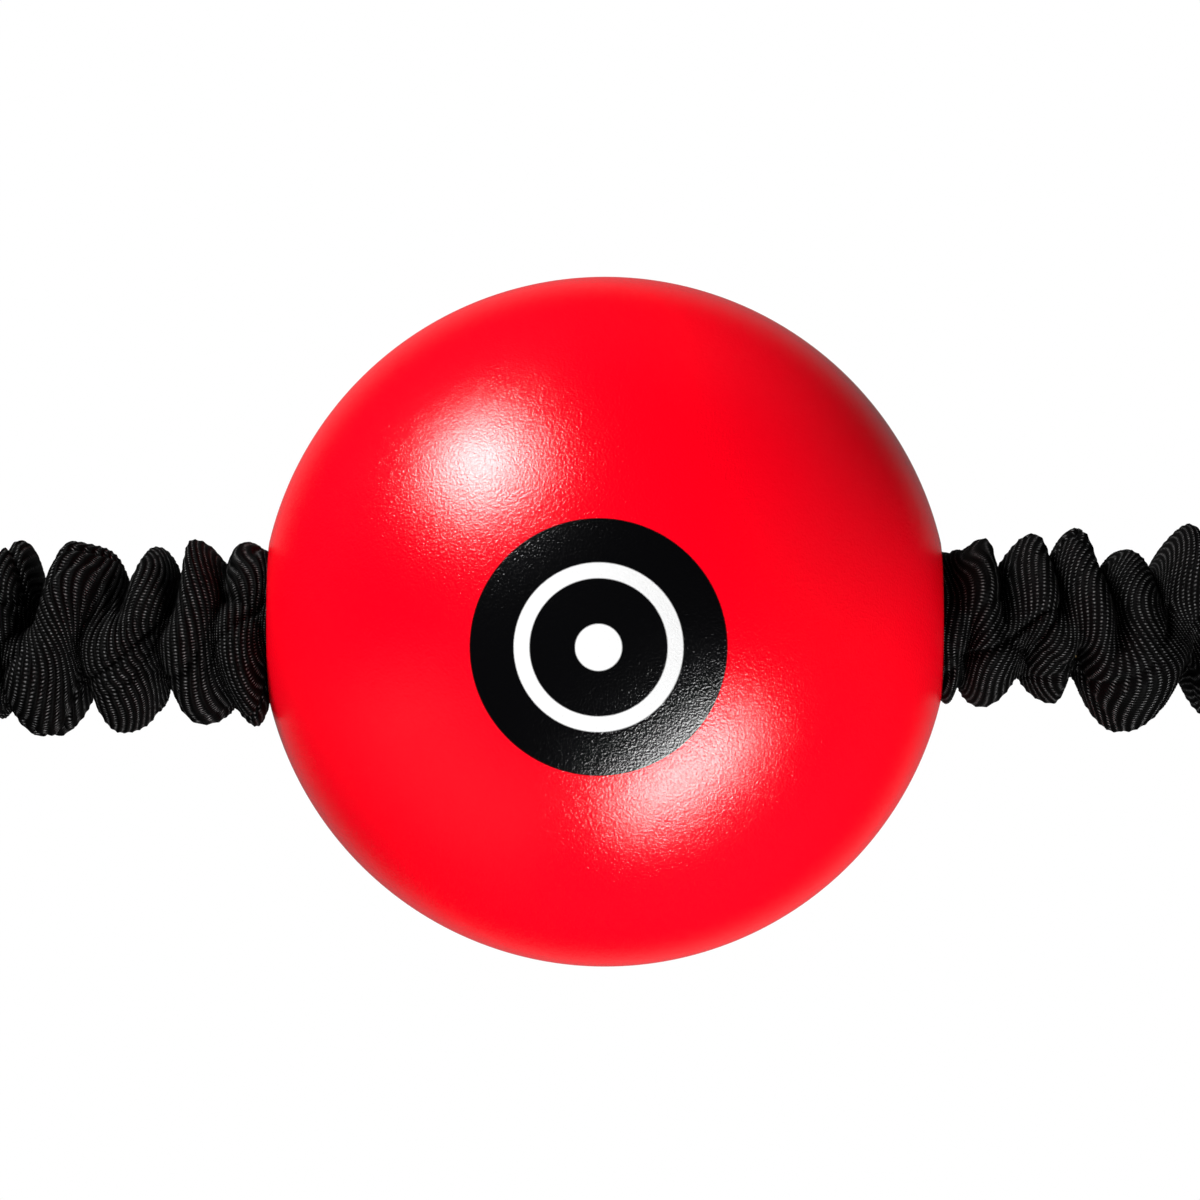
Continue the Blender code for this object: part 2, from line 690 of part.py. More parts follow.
def make_cuff(side, clasp):
    """The moulded cuff grips the round sleeve at one end and the flat webbing at the other."""
    wide = LOOP_WIDTH / 2 + 2.6 * MM
    stations = [
        (0.00, wide - 0.5 * MM, CUFF_FLAT_HALF - 0.5 * MM),
        (0.03, wide, CUFF_FLAT_HALF),
        (0.30, wide, 0.6 * CUFF_RADIUS),
        (0.50, CUFF_RADIUS, 0.86 * CUFF_RADIUS),
        (0.64, CUFF_RADIUS, CUFF_RADIUS),
        (0.97, CUFF_RADIUS, CUFF_RADIUS),
        (1.00, CUFF_RADIUS - 0.5 * MM, CUFF_RADIUS - 0.5 * MM),
    ]
    loops = []
    for share, half_wide, half_high in stations:
        distance = CUFF_START + share * (CUFF_END - CUFF_START)
        circle = arc((0, 0), 1, 0, 342, 19)
        power = 0.72 + 0.28 * min(1, share / 0.5)
        loops.append(
            [
                along(
                    half_wide * math.copysign(abs(x) ** power, x),
                    distance,
                    half_high * math.copysign(abs(z) ** power, z),
                )
                for x, z in circle
            ]
        )
    cuff = loft(side + "_end_cuff", loops, black_rubber(), clasp)
    half = LOOP_WIDTH / 2 + GAP
    thick = WEBBING + GAP / 2 + GAP
    corners = along(-half, LOOP_TAIL + GAP, -thick), along(half, CUFF_START - MM, thick)
    combine(cuff, block(side + "_cuff_slot", *corners, clasp), "DIFFERENCE")
    radius = ELASTIC_RADIUS + 2 * GAP + FERRULE_WALL
    ends = along(0, FERRULE_START - GAP), along(0, SLEEVE_POCKET + MM)
    combine(cuff, rod(side + "_ferrule_pocket", radius, *ends, 16, None, clasp), "DIFFERENCE")
    ends = along(0, SLEEVE_POCKET), along(0, CUFF_END + MM)
    pocket = rod(side + "_sleeve_pocket", SLEEVE_END_RADIUS + RUNNING_GAP, *ends, 20, None, clasp)
    combine(cuff, pocket, "DIFFERENCE")
    profile = ferrule_profile(0, FERRULE_LENGTH)
    ring = turned(side + "_end_ferrule", profile, 16, steel(), clasp, along(0, FERRULE_START))
    ring.rotation_euler = (0, 0, math.radians(-90))


# The tethers


def smooth_route(points, spacing):
    """Points about spacing apart on a centripetal curve through the given ones."""
    ends = [2 * points[0] - points[1], *points, 2 * points[-1] - points[-2]]
    route = []
    for a, b, c, d in zip(ends, ends[1:], ends[2:], ends[3:], strict=False):
        knots = [0.0]
        for near, far in ((a, b), (b, c), (c, d)):
            knots.append(knots[-1] + math.sqrt((far - near).length))
        count = max(1, round((c - b).length / spacing))
        for i in range(count):
            route.append(between(a, b, c, d, knots, knots[1] + (knots[2] - knots[1]) * i / count))
    return [*route, points[-1]]


def between(a, b, c, d, knots, at):
    """The Barry and Goldman form of the curve from b to c."""

    def mix(p, q, low, high):
        return p * ((high - at) / (high - low)) + q * ((at - low) / (high - low))

    t0, t1, t2, t3 = knots
    first, second, third = mix(a, b, t0, t1), mix(b, c, t1, t2), mix(c, d, t2, t3)
    return mix(mix(first, second, t0, t2), mix(second, third, t1, t3), t1, t2)


def tether_route(sign, clasp, cuff_distance, ball_distance):
    """The route from inside the cuff to inside the ball, straight through both openings."""
    bpy.context.view_layer.update()
    placed = clasp.matrix_world
    start = [placed @ along(0, cuff_distance), placed @ along(0, CUFF_END + MM)]
    end = [Vector((x, 0, 0)) + BALL_CENTRE for x in (MOUTH_X + MM, ball_distance)]
    return start + mirrored(TETHER_ROUTE, sign) + mirrored(end, sign)


def hollow_cord(name, route, radii, inner, sides, finish):
    """A sleeve along a route: radii gives its outer radius at each point, inner its bore."""
    turn = None
    rings = []
    for i, point in enumerate(route):
        ahead = (route[min(i + 1, len(route) - 1)] - route[max(i - 1, 0)]).normalized()
        if turn is None:
            turn = ahead.to_track_quat("Z", "Y").to_matrix()
        else:
            turn = (turn.col[2].rotation_difference(ahead)).to_matrix() @ turn
        rings.append((point, turn.copy()))
    loops = []
    for side in range(sides):
        angle = math.tau * side / sides
        spoke = Vector((math.cos(angle), math.sin(angle), 0))
        outside = [p + r * (t @ spoke) for (p, t), r in zip(rings, radii, strict=True)]
        inside = [p + inner * (t @ spoke) for p, t in reversed(rings)]
        loops.append(outside + inside)
    return loft(name, loops, finish, ring=True)


def make_tether(side, sign, clasp):
    core = smooth_route(tether_route(sign, clasp, FERRULE_START, FERRULE_FACE - FERRULE_LENGTH), 12 * MM)
    wire(side + "_elastic", core, ELASTIC_RADIUS, latex())
    route = smooth_route(tether_route(sign, clasp, SLEEVE_CUFF_END, SLEEVE_BALL_END), 12 * MM)
    lengths = [0.0]
    for near, far in zip(route, route[1:], strict=False):
        lengths.append(lengths[-1] + (far - near).length)
    in_cuff = CUFF_END - SLEEVE_CUFF_END + MM
    in_ball = MOUTH_X - SLEEVE_BALL_END + MM
    radii = []
    for distance in lengths:
        grown = eased(distance, in_cuff, in_cuff + 6 * MM)
        grown *= eased(lengths[-1] - distance, in_ball, in_ball + 6 * MM)
        radii.append(SLEEVE_END_RADIUS + (SLEEVE_RADIUS - SLEEVE_END_RADIUS) * grown)
    hollow_cord(side + "_sleeve", route, radii, SLEEVE_END_RADIUS - SLEEVE_WALL, 12, black_sleeve())


def clear_scene():
    for leftover in list(bpy.data.objects):
        bpy.data.objects.remove(leftover)


def main():
    clear_scene()
    centre = frame("ball_frame", BALL_CENTRE)
    make_ball(centre)
    make_ball_axle(centre)
    band = frame("headband_frame", BAND_CENTRE)
    make_padding(band)
    make_grips(band)
    make_closure(band)
    for side, sign in SIDES.items():
        make_ring_tab(side, sign, band)
        make_ring(side, sign, band)
        clasp = clasp_frame(side, sign)
        make_clasp_body(side, sign, clasp)
        make_gate(side, sign, clasp)
        make_swivel(side, clasp)
        make_webbing_loop(side, clasp)
        make_cuff(side, clasp)
        make_tether(side, sign, clasp)


main()
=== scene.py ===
"""The looks of a reflex ball headband: a glossy moulded ball on two elastic tethers in gathered ribbed
sleeves, and a padded headband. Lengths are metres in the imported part's own frame. A piece's own small
sizes are millimetres, which its functions turn to metres."""

import math

import bmesh
import bpy
import numpy as np
from mathutils import Matrix, Vector
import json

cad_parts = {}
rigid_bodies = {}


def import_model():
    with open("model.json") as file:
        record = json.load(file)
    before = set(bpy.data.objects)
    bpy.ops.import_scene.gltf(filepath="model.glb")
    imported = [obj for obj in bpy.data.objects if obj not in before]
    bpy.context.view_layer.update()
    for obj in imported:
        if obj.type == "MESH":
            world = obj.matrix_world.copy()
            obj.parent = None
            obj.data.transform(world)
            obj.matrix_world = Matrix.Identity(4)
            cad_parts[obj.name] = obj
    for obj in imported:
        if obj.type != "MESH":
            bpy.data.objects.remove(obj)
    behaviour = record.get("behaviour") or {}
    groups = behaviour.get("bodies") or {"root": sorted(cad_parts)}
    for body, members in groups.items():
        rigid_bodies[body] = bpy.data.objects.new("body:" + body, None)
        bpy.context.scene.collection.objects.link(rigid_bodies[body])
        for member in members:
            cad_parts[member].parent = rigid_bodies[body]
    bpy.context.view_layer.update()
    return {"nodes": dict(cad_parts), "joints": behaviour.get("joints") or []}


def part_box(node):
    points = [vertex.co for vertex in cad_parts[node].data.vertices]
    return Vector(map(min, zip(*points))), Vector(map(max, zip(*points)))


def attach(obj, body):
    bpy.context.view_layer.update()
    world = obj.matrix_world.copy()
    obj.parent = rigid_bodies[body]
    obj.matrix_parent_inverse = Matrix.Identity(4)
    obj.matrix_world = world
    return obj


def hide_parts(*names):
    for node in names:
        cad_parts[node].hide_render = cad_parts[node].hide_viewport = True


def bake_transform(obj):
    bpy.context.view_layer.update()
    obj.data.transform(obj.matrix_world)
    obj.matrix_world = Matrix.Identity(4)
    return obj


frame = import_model()
MM = 0.001


# The studio. A white table and backdrop seen straight from above, with two soft boxes on either side
# of the ball that show in its gloss. A bank overhead and a wash on each side only fill.

ball_low, ball_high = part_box("ball_skin")
ball_centre = (ball_low + ball_high) / 2
ball_radius = (ball_high.z - ball_low.z) / 2

bpy.context.scene.view_settings.view_transform = "Standard"
backdrop = bpy.data.worlds.new("white_backdrop")
bpy.context.scene.world = backdrop
backdrop.use_nodes = True
backdrop.node_tree.nodes["Background"].inputs["Color"].default_value = (1, 1, 1, 1)
backdrop.cycles_visibility.diffuse = False
backdrop.cycles_visibility.glossy = False

LENS = 200
SENSOR = 36
VIEW_WIDTH = 113.2 * MM
camera_data = bpy.data.cameras.new("overhead_camera")
camera_data.lens = LENS
camera_data.sensor_width = SENSOR
camera_data.clip_start = 0.01
camera = bpy.data.objects.new("overhead_camera", camera_data)
camera.location = ball_centre + Vector((-0.47 * MM, 2.04 * MM, VIEW_WIDTH * LENS / SENSOR))
bpy.context.scene.collection.objects.link(camera)
bpy.context.scene.camera = camera


def soft_box(name, direction, distance, size, radiance, in_gloss=True, tilt=0.0):
    """An area light that faces the ball from this direction, as bright as radiance all over its face."""
    data = bpy.data.lights.new(name, "AREA")
    data.shape = "RECTANGLE"
    data.size, data.size_y = size
    data.energy = radiance * math.pi * size[0] * size[1]
    lamp = bpy.data.objects.new(name, data)
    away = Vector(direction).normalized()
    lamp.location = ball_centre + away * distance
    facing = away.to_track_quat("Z", "Y").to_matrix() @ Matrix.Rotation(tilt, 3, "Z")
    lamp.rotation_euler = facing.to_euler()
    lamp.visible_glossy = in_gloss
    bpy.context.scene.collection.objects.link(lamp)
    return lamp


soft_box("key_box", (-0.56, 0.715, 0.37), 0.60, (0.23, 0.31), 26.0)
soft_box("low_box", (0.400, -0.730, 0.553), 0.60, (0.44, 0.15), 26.0, tilt=math.radians(12))
soft_box("overhead_bank", (-0.25, -0.1, 1.0), 0.80, (0.9, 0.9), 0.30, in_gloss=False)
soft_box("left_wash", (-0.7, -0.7, 0.2), 0.80, (0.9, 0.7), 1.5, in_gloss=False)
soft_box("right_wash", (1.0, 0.1, 0.2), 0.80, (0.8, 0.7), 0.30, in_gloss=False)


def linear(hex_colour):
    """An sRGB hex colour as linear red, green, blue and alpha."""
    channels = [int(hex_colour[i : i + 2], 16) / 255 for i in (1, 3, 5)]
    return (*[c / 12.92 if c <= 0.04045 else ((c + 0.055) / 1.055) ** 2.4 for c in channels], 1.0)


def substance(name, colour, roughness, **sockets):
    """A material on the Principled shader: returns it, its node tree and its shader."""
    made = bpy.data.materials.new(name)
    made.use_nodes = True
    shader = made.node_tree.nodes["Principled BSDF"]
    shader.inputs["Base Color"].default_value = linear(colour)
    shader.inputs["Roughness"].default_value = roughness
    for socket, value in sockets.items():
        shader.inputs[socket.replace("_", " ")].default_value = value
    return made, made.node_tree, shader


def mesh_piece(name, points, faces, finish):
    """A smooth-shaded mesh object."""
    mesh = bpy.data.meshes.new(name)
    mesh.from_pydata(points, [], faces)
    mesh.shade_smooth()
    mesh.materials.append(finish)
    piece = bpy.data.objects.new(name, mesh)
    bpy.context.scene.collection.objects.link(piece)
    return piece


def glowing(name, strength):
    """A card that only glows, evenly."""
    made, _, shader = substance(name, "#000000", 1.0, Specular_IOR_Level=0.0)
    shader.inputs["Emission Color"].default_value = (1, 1, 1, 1)
    shader.inputs["Emission Strength"].default_value = strength
    return made


def disc(name, radius, height, finish):
    """A flat disc on the table under the ball."""
    turns = [i / 96 * math.tau for i in range(96)]
    x, y = ball_centre.x, ball_centre.y
    points = [(x + radius * math.cos(a), y + radius * math.sin(a), height) for a in turns]
    made = mesh_piece(name, points, [tuple(range(96))], finish)
    return made


# The table is white to its edges. What it throws up at the pieces is less, so two cards do that
# instead: a wide one for the light it bounces, and a small one for its reflection in the ball's rim.
table = disc("table", 3.0, -0.10 * MM, glowing("white_laminate", 1.0))
table.visible_diffuse = table.visible_glossy = False
bounce_card = disc("bounce_card", 0.5, -0.06 * MM, glowing("bounce_paper", 0.40))
bounce_card.visible_camera = bounce_card.visible_glossy = False
rim_card = disc("rim_card", 0.056, -0.03 * MM, glowing("rim_paper", 0.16))
rim_card.visible_camera = rim_card.visible_diffuse = False


# The tethers. Each is a stretch tube of black ribbed polyester, cut about twice as long as the latex
# cord that it covers, so at rest it gathers into deep, irregular folds that lean across the cord.

# The clasps' own frames, from the joints: the swivel's axis runs down each clasp, from the ring's arc.
POST_FROM_RING = 28 * MM
joints = {joint["name"]: joint for joint in frame["joints"]}
SIDES = {"left": -1, "right": 1}


def clasp_frame(side, sign):
    """A matrix whose origin is the middle of the ring's arc and whose -Y runs down the clasp."""
    swivel = joints[side + "_swivel"]
    down = Vector(swivel["axis"]).normalized()
    flat = Vector(joints[side + "_gate_hinge"]["axis"]).normalized() * sign
    origin = Vector(swivel["pos_m"]) - down * POST_FROM_RING
    columns = Matrix(((-down).cross(flat), -down, flat)).transposed()
    return Matrix.Translation(origin) @ columns.to_4x4()


CLASPS = {side: clasp_frame(side, sign) for side, sign in SIDES.items()}
CUFF_MOUTH = 75 * MM
SLEEVE_CUFF_END = 66.3 * MM
ELASTIC_CUFF_END = 57 * MM
SLEEVE_BALL_END = 20.5 * MM
ELASTIC_BALL_END = 8.4 * MM
BORE_RADIUS = 7.2 * MM
MOUTH = math.sqrt(ball_radius**2 - BORE_RADIUS**2)
TETHER_ROUTE = [
    Vector((0.0960, -0.0180, 0.0122)),
    Vector((0.1010, -0.0400, 0.0099)),
    Vector((0.1055, -0.0630, 0.0093)),
    Vector((0.1080, -0.0860, 0.0093)),
    Vector((0.1070, -0.1090, 0.0108)),
    Vector((0.1012, -0.1310, 0.0146)),
    Vector((0.0915, -0.1488, 0.0198)),
    Vector((0.0770, -0.1617, 0.0252)),
    Vector((0.0655, -0.1668, 0.0285)),
    Vector((0.0560, -0.1686, 0.0305)),
    Vector((0.0470, -0.1686, 0.0318)),
    Vector((0.0390, -0.1683, 0.0323)),
]


def between(a, b, c, d, knots, at):
    """A point of the centripetal curve that passes b and c."""

    def mix(p, q, low, high):
        return p * ((high - at) / (high - low)) + q * ((at - low) / (high - low))

    t0, t1, t2, t3 = knots
    first, second, third = mix(a, b, t0, t1), mix(b, c, t1, t2), mix(c, d, t2, t3)
    return mix(mix(first, second, t0, t2), mix(second, third, t1, t3), t1, t2)


def smooth_route(points, spacing):
    """Points about spacing apart on a centripetal curve through the given ones."""
    ends = [2 * points[0] - points[1], *points, 2 * points[-1] - points[-2]]
    route = []
    for a, b, c, d in zip(ends, ends[1:], ends[2:], ends[3:], strict=False):
        knots = [0.0]
        for near, far in ((a, b), (b, c), (c, d)):
            knots.append(knots[-1] + math.sqrt((far - near).length))
        count = max(1, round((c - b).length / spacing))
        for i in range(count):
            route.append(between(a, b, c, d, knots, knots[1] + (knots[2] - knots[1]) * i / count))
    return [*route, points[-1]]


def tether_route(side, sign, from_ball, to_cuff):
    """The tether's line, from inside the ball to inside the cuff."""
    inside = [Vector((x, 0, 0)) + ball_centre for x in (from_ball, MOUTH + MM)]
    cuff = [CLASPS[side] @ Vector((0, -distance, 0)) for distance in (CUFF_MOUTH + MM, to_cuff)]
    outside = [Vector((sign * p.x, p.y, p.z)) for p in reversed(TETHER_ROUTE)]
    return smooth_route([Vector((sign * p.x, p.y, p.z)) for p in inside] + outside + cuff, 0.25 * MM)


def route_table(route, sign):
    """Distance along a route, its points, and its sideways and upward directions, as arrays."""
    points = np.array(route)
    steps = np.linalg.norm(np.diff(points, axis=0), axis=1)
    along = np.concatenate(([0], np.cumsum(steps)))
    ahead = np.gradient(points, axis=0)
    ahead /= np.linalg.norm(ahead, axis=1, keepdims=True)
    up = np.array((0, 0, 1.0)) - ahead * ahead[:, 2:]
    up /= np.linalg.norm(up, axis=1, keepdims=True)
    return along, points, np.cross(up, ahead) * sign, up


def at_distance(table, distance):
    """The point, side and up directions at an array of distances along a route, run on past its ends."""
    along, points, side, up = table

    def read(values):
        return np.stack([np.interp(distance, along, values[:, i]) for i in range(3)], -1)

    return read(points), read(side), read(up)


def grid_faces(rings, around):
    """Quads over a grid of points that is closed around each ring."""
    ring, place = np.meshgrid(np.arange(rings - 1), np.arange(around), indexing="ij")
    here, next_place = ring * around, (place + 1) % around
    return np.stack([here + place, here + next_place, here + around + next_place, here + around + place], -1)


def tube_piece(name, grid, across, along, finish, capped=True):
    """A tube through a grid of points, rings by places. Its cloth map is across by along, in millimetres."""
    rings, around = grid.shape[:2]
    quads = grid_faces(rings, around).reshape(-1, 4)
    faces = quads.tolist()
    if capped:
        faces += [tuple(range(around))[::-1], tuple(range((rings - 1) * around, rings * around))]
    piece = mesh_piece(name, grid.reshape(-1, 3).tolist(), faces, finish)
    u = np.broadcast_to(across, (rings, around + 1))
    along = np.asarray(along)
    v = along if along.ndim == 2 else np.broadcast_to(along[:, None], (rings, around + 1))
    ring, place = np.meshgrid(np.arange(rings - 1), np.arange(around), indexing="ij")
    corners = []
    for ring_step, place_step in ((0, 0), (0, 1), (1, 1), (1, 0)):
        where = (ring + ring_step, place + place_step)
        corners.append(np.stack([u[where], v[where]], -1))
    flat = np.zeros((len(piece.data.loops), 2), np.float32)
    flat[: quads.size] = np.stack(corners, 2).reshape(-1, 2)
    cloth = piece.data.uv_layers.new(name="cloth")
    cloth.data.foreach_set("uv", flat.ravel())
    return piece


# The crests and valleys of the folds, in turn, outwards from the ball: millimetres from its mouth, and
# from the cord's middle line. The far and the near side fold at different places.
FOLDS = {
    "left": (
        (
            (1.6, 7.3), (3.1, 5.8), (6.1, 8.6), (7.7, 5.3), (10.9, 7.9),
            (12.8, 4.6), (18.0, 9.0), (20.8, 3.9), (25.0, 8.7),
        ),
        (
            (2.1, 9.9), (4.5, 7.8), (7.0, 8.9), (9.5, 5.9), (14.1, 9.5),
            (16.7, 5.5), (20.9, 10.0), (24.0, 7.3), (26.8, 9.5),
        ),
    ),
    "right": (
        (
            (2.9, 8.6), (4.3, 5.7), (8.4, 9.4), (9.9, 7.0), (12.8, 9.7),
            (14.7, 5.8), (17.3, 8.0), (19.4, 5.9), (24.4, 10.1),
        ),
        (
            (1.0, 7.7), (2.0, 6.2), (4.8, 7.6), (7.4, 4.7), (10.8, 6.5),
            (12.2, 3.9), (17.2, 9.1), (22.6, 4.2), (26.0, 9.0),
        ),
    ),
}
GATHER = 1.9  # millimetres of cloth to each millimetre of tether
OVERHANG = 0.62  # how far each fold leans over its valley: 1 would close it
CLAMPED = 6.6  # the cloth's radius where it is clamped at its ends
RIB = 0.9
YARN = 0.31
YARNS_AROUND = 172
PLACES = 128
FINE_LENGTH = 30.0  # where the ribs are modelled one by one


def more_folds(knots, length, dice):
    """The known folds and, after them, uneven ones up to the cuff."""
    knots = list(knots)
    while knots[-1][0] < length - 10:
        knots.append((knots[-1][0] + dice.uniform(1.9, 3.0), dice.uniform(4.3, 6.6)))
        knots.append((knots[-1][0] + dice.uniform(3.0, 4.6), dice.uniform(8.0, 9.8)))
    return knots


def fold_profile(knots):
    """How far out the folds hold the cloth, and how far along they tuck it, at even steps."""
    places, heights = np.array(knots).T
    places = np.concatenate(([places[0] - 2.5], places, [places[-1] + 2.5]))
    heights = np.concatenate(([6.2], heights, [7.0]))
    even = np.arange(places[0], places[-1], 0.05)
    kernel = np.exp(-((np.arange(-12, 13) / 7) ** 2))
    counted = np.pad(np.interp(even, places, np.arange(len(places))), 12, "edge")
    halves = np.convolve(counted, kernel / kernel.sum(), "valid")
    low = np.minimum(halves.astype(int), len(places) - 2)
    ease = (1 - np.cos(math.pi * (halves - low))) / 2
    out = heights[low] + (heights[low + 1] - heights[low]) * ease
    pace = np.maximum(np.gradient(halves, even), 0.15)
    tuck = -OVERHANG / (math.pi * pace) * np.sin(math.pi * halves)
    return even, out, tuck


def smooth_step(value, low, high):
    """0 up to low and 1 from high on, eased between them."""
    share = np.clip((value - low) / (high - low), 0, 1)
    return share * share * (3 - 2 * share)


def creases(rest, turn, end, dice):
    """How deep the small slanting creases between the folds are, at each point of the sleeve."""
    depth = np.zeros((len(rest), len(turn)))
    for _ in range(int(end * 1.6)):
        place, angle, slope = dice.uniform(0, end), dice.uniform(0, math.tau), dice.uniform(-1.1, 1.1)
        reach, width, deep = dice.uniform(2.5, 5.0), dice.uniform(0.35, 0.6), dice.uniform(0.5, 1.1)
        near = (rest > place - 8) & (rest < place + 8)
        aside = ((turn - angle + math.pi) % math.tau - math.pi)[None, :] * 8.0
        across = rest[near][:, None] - place - slope * aside
        depth[near] += deep * np.exp(-((across / width) ** 2) - (aside / reach) ** 2)
    return np.minimum(depth, 1.3)


def gathered_grid(side, sign, length):
    """The sleeve's points, and how far along the cloth each of its rings is."""
    dice = np.random.default_rng(7 if side == "left" else 11)
    turn = np.arange(PLACES) / PLACES * math.tau
    start, end = (SLEEVE_BALL_END - MOUTH) / MM, (length + SLEEVE_BALL_END - MOUTH) / MM
    rest = np.concatenate(
        (np.arange(start, -1.2, 0.8), np.arange(-1.2, FINE_LENGTH, 0.08), np.arange(FINE_LENGTH, end, 0.33))
    )
    distance = rest[:, None]
    out, tuck = np.zeros((len(rest), PLACES)), np.zeros((len(rest), PLACES))
    wander = [(dice.uniform(0.25, 0.6), dice.uniform(0, 6)) for _ in range(3)]
    switch = sum(0.16 * np.sin(rest * pace + lag) for pace, lag in wander)
    far_share = smooth_step(np.cos(turn)[None, :] + switch[:, None], -0.55, 0.55)
    for knots, face, share in zip(FOLDS[side], (1, -1), (far_share, 1 - far_share), strict=True):
        even, height, along = fold_profile(more_folds(knots, end, dice))
        lean = 1.1 * (1 - face * np.cos(turn)) * (1 if face > 0 else 0.5)
        sway = sum(
            dice.uniform(0.3, 0.6) * np.sin(n * turn + distance * dice.uniform(0.1, 0.3)) for n in (1, 2, 3)
        )
        half_turn = turn / 2 if face > 0 else turn / 2 + math.pi / 2
        where = distance - lean[None, :] + sway * np.sin(half_turn) ** 2
        out += share * np.interp(where, even, height)
        tuck += share * np.interp(where, even, along)
    ripple = sum(
        dice.uniform(0.06, 0.18) * np.sin(distance * dice.uniform(0.4, 1.7) + n * turn + dice.uniform(0, 6))
        for n in (1, 2, 3, 4, 5)
    )
    ripple = ripple - creases(rest, turn, end, dice)
    free = (smooth_step(rest, -0.8, 1.0) * smooth_step(-rest, 8.0 - end, 11.0 - end))[:, None]
    out = CLAMPED + (out + ripple - CLAMPED) * free
    route = route_table(tether_route(side, sign, SLEEVE_BALL_END, SLEEVE_CUFF_END), sign)
    middle, sideways, up = at_distance(route, (distance + tuck * free - start) * MM)
    points = middle + (out * MM)[..., None] * (sideways * np.cos(turn)[:, None] + up * np.sin(turn)[:, None])
    ahead, round_it = np.gradient(points, axis=0), np.roll(points, -1, 1) - np.roll(points, 1, 1)
    normal = np.cross(round_it, ahead) * -sign
    normal /= np.maximum(np.linalg.norm(normal, axis=2, keepdims=True), 1e-12)
    lap = np.append(turn, math.tau)
    cloth = distance * GATHER + sum(
        dice.uniform(0.45, 0.95) * np.sin(n * lap + distance * dice.uniform(-0.6, 0.6) + dice.uniform(0, 6))
        for n in (1, 2, 2, 3, 4)
    )
    rib = np.abs(np.sin(math.pi * cloth[:, :-1] / RIB)) ** 0.8 - 0.6
    modelled = (rib * np.clip((FINE_LENGTH - rest) / 4, 0, 1)[:, None])[..., None]
    points = points + normal * (0.12 * MM * modelled) * free[..., None]
    points[..., 2] = np.maximum(points[..., 2], 0.15 * MM)
    return points, cloth


def add(tree, kind, inputs=None, **settings):
    """Adds a shader node. inputs gives a socket a value, a socket, or a node whose first output feeds it."""
    node = tree.nodes.new("ShaderNode" + kind)
    for name, value in settings.items():
        setattr(node, name, value)
    for socket, value in (inputs or {}).items():
        if isinstance(value, bpy.types.Node):
            value = value.outputs[0]
        if isinstance(value, bpy.types.NodeSocket):
            tree.links.new(value, node.inputs[socket])
        else:
            node.inputs[socket].default_value = value
    return node


def woven(name, rib, yarn, dark, light, roughness, depth, shine=0.12, tips=2.0):
    """Ribbed polyester: round ribs of rib millimetres, each one row of yarn knuckles, dark between. The
    knuckle tops get a painted highlight, mixed toward the light colour in uneven patches.
    """
    made, tree, shader = substance(name, dark, roughness, Specular_IOR_Level=shine)
    cloth = add(tree, "UVMap", uv_map="cloth")
    parts = add(tree, "SeparateXYZ", {0: cloth.outputs[0]})
    waves = []
    for socket, size, power in (("Y", rib, 1.6), ("X", yarn, 1.3)):
        turns = add(tree, "Math", {0: parts.outputs[socket], 1: math.pi / size}, operation="MULTIPLY")
        wave = add(tree, "Math", {0: turns}, operation="SINE")
        ridge = add(tree, "Math", {0: wave}, operation="ABSOLUTE")
        waves.append(add(tree, "Math", {0: ridge, 1: power}, operation="POWER"))
    knuckle = add(tree, "Math", {0: waves[1], 1: 0.8, 2: 0.2}, operation="MULTIPLY_ADD")
    relief = add(tree, "Math", {0: waves[0], 1: knuckle}, operation="MULTIPLY")
    # Painted highlight: the knuckle tops are mixed toward the light colour, in uneven patches, as a glint.
    painted_glint = add(tree, "Math", {0: relief, 1: tips}, operation="POWER")
    uneven = add(tree, "TexNoise", {"Scale": 420.0, "Detail": 2.0})  # patches 2.4 mm across
    patches = add(tree, "MapRange", {"Value": uneven.outputs["Fac"], "From Min": 0.35, "From Max": 0.65})
    painted_glint_patches = add(tree, "Math", {0: painted_glint, 1: patches}, operation="MULTIPLY")
    painted_glint_colour = add(tree, "Mix", {0: painted_glint_patches, 6: linear(dark), 7: linear(light)}, data_type="RGBA")
    tree.links.new(painted_glint_colour.outputs[2], shader.inputs["Base Color"])
    bump = add(tree, "Bump", {"Height": relief.outputs[0], "Strength": 0.9, "Distance": depth * MM})
    tree.links.new(bump.outputs[0], shader.inputs["Normal"])
    return made


# Ribbed polyester: nearly black, with a faint dotted painted highlight where each rib's yarns turn over.
sleeve_cloth = woven("ribbed_polyester", RIB, YARN, "#030303", "#7c7c7c", 0.6, 0.16, shine=0.03, tips=6.0)

# Natural latex: honey-coloured and waxy, with the fine lengthwise lines of extrusion.
waxy = {"Subsurface_Weight": 0.2, "Subsurface_Scale": 2 * MM}
latex, tree, shader = substance("natural_latex", "#c8a672", 0.45, **waxy)
drawn = add(tree, "TexNoise", {"Scale": 900.0, "Detail": 2.0})  # about 1.1 mm apart
lines = add(tree, "Bump", {"Height": drawn.outputs["Fac"], "Strength": 0.2, "Distance": 0.05 * MM})
tree.links.new(lines.outputs[0], shader.inputs["Normal"])
ELASTIC_RADIUS = 3.2 * MM

